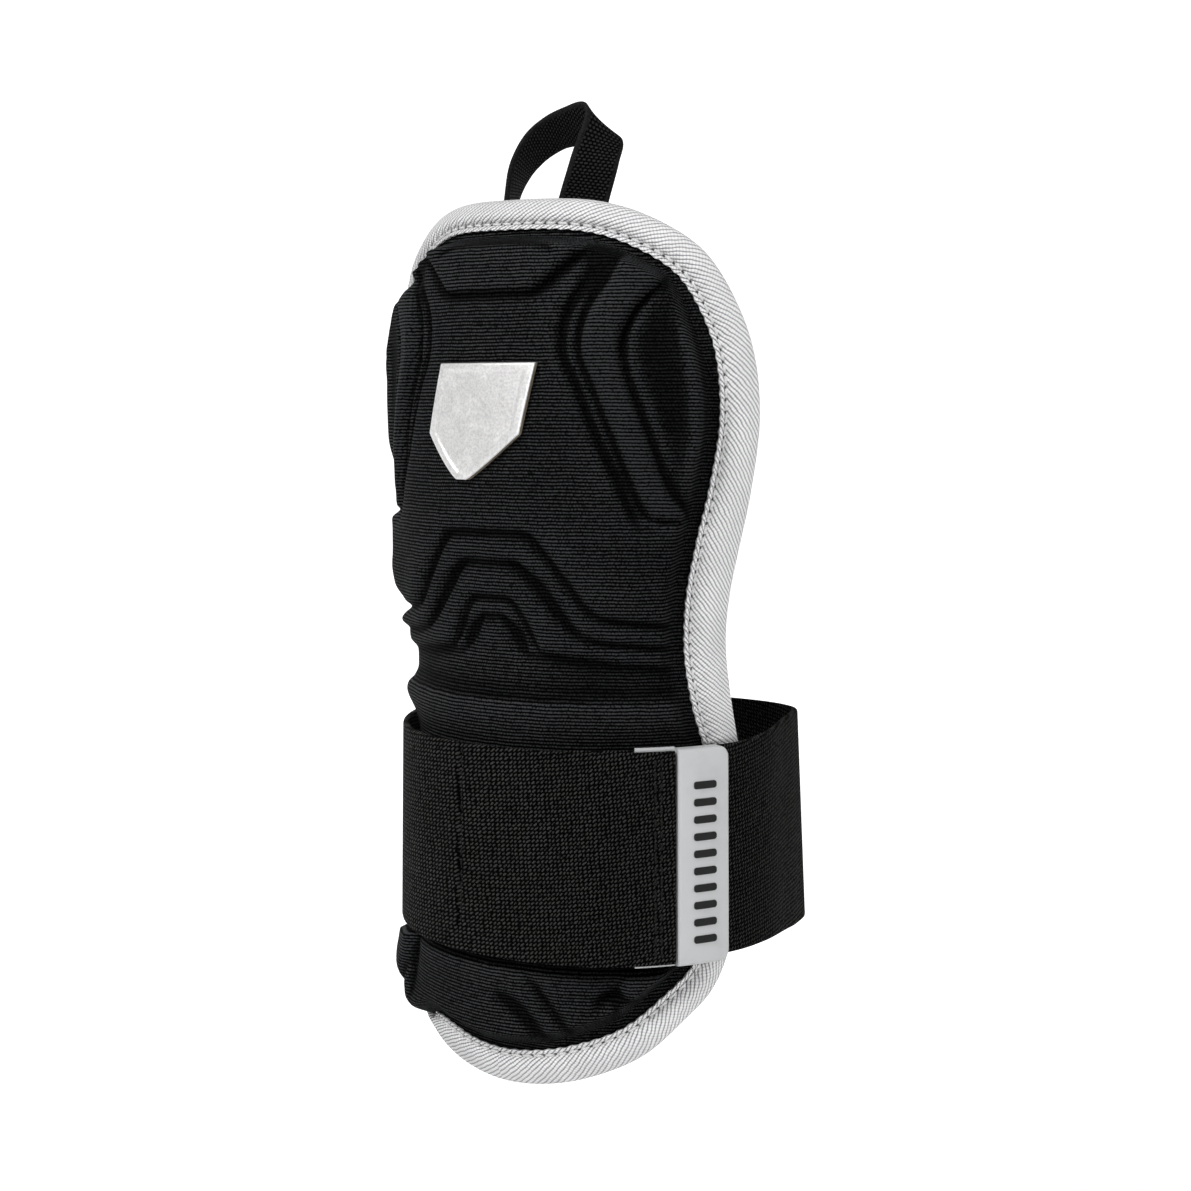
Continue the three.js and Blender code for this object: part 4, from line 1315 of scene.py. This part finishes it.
def silver_shield():
    """The plain shield on the hand plateau: a bevelled border round a slightly sunk face."""
    level = BADGE.tip + graded(0, BADGE.top - BADGE.tip, BADGE.bevel, 60)[:, None]
    spread = np.clip((level - BADGE.tip) / (BADGE.shoulder - BADGE.tip), 0, 1)
    half = BADGE.tip_half + (BADGE.half - BADGE.tip_half) * spread ** 0.85
    share = graded(-1, 1, 0.06, 50)[None]
    across = BADGE.across + BADGE.slant * level + half * share
    z = BADGE.z + level + 0 * share
    spots = stack(across, z)
    gap = np.linalg.norm(from_edge(spots, border_of(spots)), axis=-1)
    sunk = BADGE.sunk * ease(gap - BADGE.border, 0.5)
    foot = PAD.plateau + BADGE.foot
    height = foot + BADGE.thick - rounded(gap, BADGE.bevel) - sunk
    shell = Shell().plate(pad_point(across, z, height), pad_point(across, z, foot), spots)
    return shell.piece("silver_shield", silver_finish(), "silver", "badge", crease=50)


def camera_ways():
    """The ways to the right and to the back along the floor, as the camera looks."""
    a = np.radians(CAMERA.azimuth)
    return np.array([np.cos(a), np.sin(a), 0]), np.array([-np.sin(a), np.cos(a), 0])


def floor_finish(back):
    """Pale matt paper that glows towards the back."""
    finish = Finish("pale_floor", roughness=0.9, specular_ior_level=0.1, emission_strength=1)
    colour = finish.mix(finish.cloud(220, 2, 0.4), grey(0.84), grey(0.86))
    x, y, _ = finish.parts(finish.spot())
    behind = x * back[0] + y * back[1]
    glow = finish.mix(behind.step(-0.1, 0.5), grey(0.1), grey(0.9))
    return finish.done(colour, emission_color=glow)


def pale_floor():
    """A wide pale floor that sweeps up far behind the guard."""
    right, back = camera_ways()
    flat = np.linspace(FLOOR.front, FLOOR.bend, FLOOR.steps)
    bend = np.linspace(0, np.pi / 2, FLOOR.steps)[1:]
    end = FLOOR.bend + FLOOR.radius
    away = np.concatenate([flat, FLOOR.bend + FLOOR.radius * np.sin(bend), [end]])
    up = np.concatenate([0 * flat, FLOOR.radius * (1 - np.cos(bend)), [FLOOR.top]])
    aside = np.linspace(FLOOR.half, -FLOOR.half, FLOOR.columns)
    points = aside[:, None, None] * right + away[:, None] * back + stack(0, 0, up + FLOOR.level)
    mesh = bpy.data.meshes.new("pale_floor")
    mesh.from_pydata(points.reshape(-1, 3), [], grid_faces(*points.shape[:2]).tolist())
    smooth_faces(mesh)
    mesh.materials.append(floor_finish(back))
    floor = linked("pale_floor", mesh)


def direction(azimuth, elevation):
    """The way from the guard to something round it."""
    a, e = np.radians(azimuth), np.radians(elevation)
    return Vector((np.sin(a) * np.cos(e), -np.cos(a) * np.cos(e), np.sin(e)))


def studio_camera():
    """The camera, fitted to the photograph."""
    back = direction(CAMERA.azimuth, CAMERA.elevation)
    right = Vector(camera_ways()[0])
    target = right * CAMERA.aside + Vector((0, 0, CAMERA.level))
    lens = bpy.data.cameras.new("studio_camera")
    lens.sensor_width = FILM
    lens.lens = CAMERA.focal_pixels / PHOTO_SIDE * FILM
    lens.clip_start, lens.clip_end = 0.01, 50
    camera = linked("studio_camera", lens)
    camera.location = (target + back * CAMERA.distance) * MM
    camera.rotation_euler = (-back).to_track_quat("-Z", "Y").to_euler()
    bpy.context.scene.camera = camera


def studio_lamp(name, azimuth, elevation, distance, side, watts):
    light = bpy.data.lights.new(name, "AREA")
    light.energy = watts
    light.size = side
    lamp = linked(name, light)
    toward = direction(azimuth, elevation)
    lamp.location = Vector((0, 0, CAMERA.level * MM)) + toward * distance
    lamp.rotation_euler = toward.to_track_quat("Z", "Y").to_euler()
    return lamp


def studio_light():
    """The lamps: two for everything, and one that lights only the pale pieces."""
    for lamp in LAMPS:
        studio_lamp(**lamp)
    pale = bpy.data.collections.new("pale_pieces")
    for name in PALE_PIECES:
        pale.objects.link(bpy.data.objects[name])
    studio_lamp(**PALE_LAMP).light_linking.receiver_collection = pale


def studio_world():
    """A white surround, which lights the guard much less than it shows."""
    world = bpy.data.worlds.new("studio")
    world.use_nodes = True
    nodes = Nodes(world.node_tree)
    seen = nodes.value("ShaderNodeLightPath", {}, {}, "Is Camera Ray")
    surrounds = []
    for strength in (SURROUND.light, SURROUND.shown):
        surrounds.append(nodes.value("ShaderNodeBackground", {}, {"Color": grey(1), "Strength": strength}))
    shown = nodes.value("ShaderNodeMixShader", {}, {0: seen, 1: surrounds[0], 2: surrounds[1]})
    nodes.node("ShaderNodeOutputWorld", {}, {"Surface": shown})
    bpy.context.scene.world = world
    bpy.context.scene.view_settings.view_transform = "Standard"


studio_camera()
pale_floor()
padded_shield(pad_pattern())
edge_binding(edge_line()[0])
finger_loop()
wrist_strap()
rubber_tab()
tab_grips()
silver_shield()
studio_light()
studio_world()
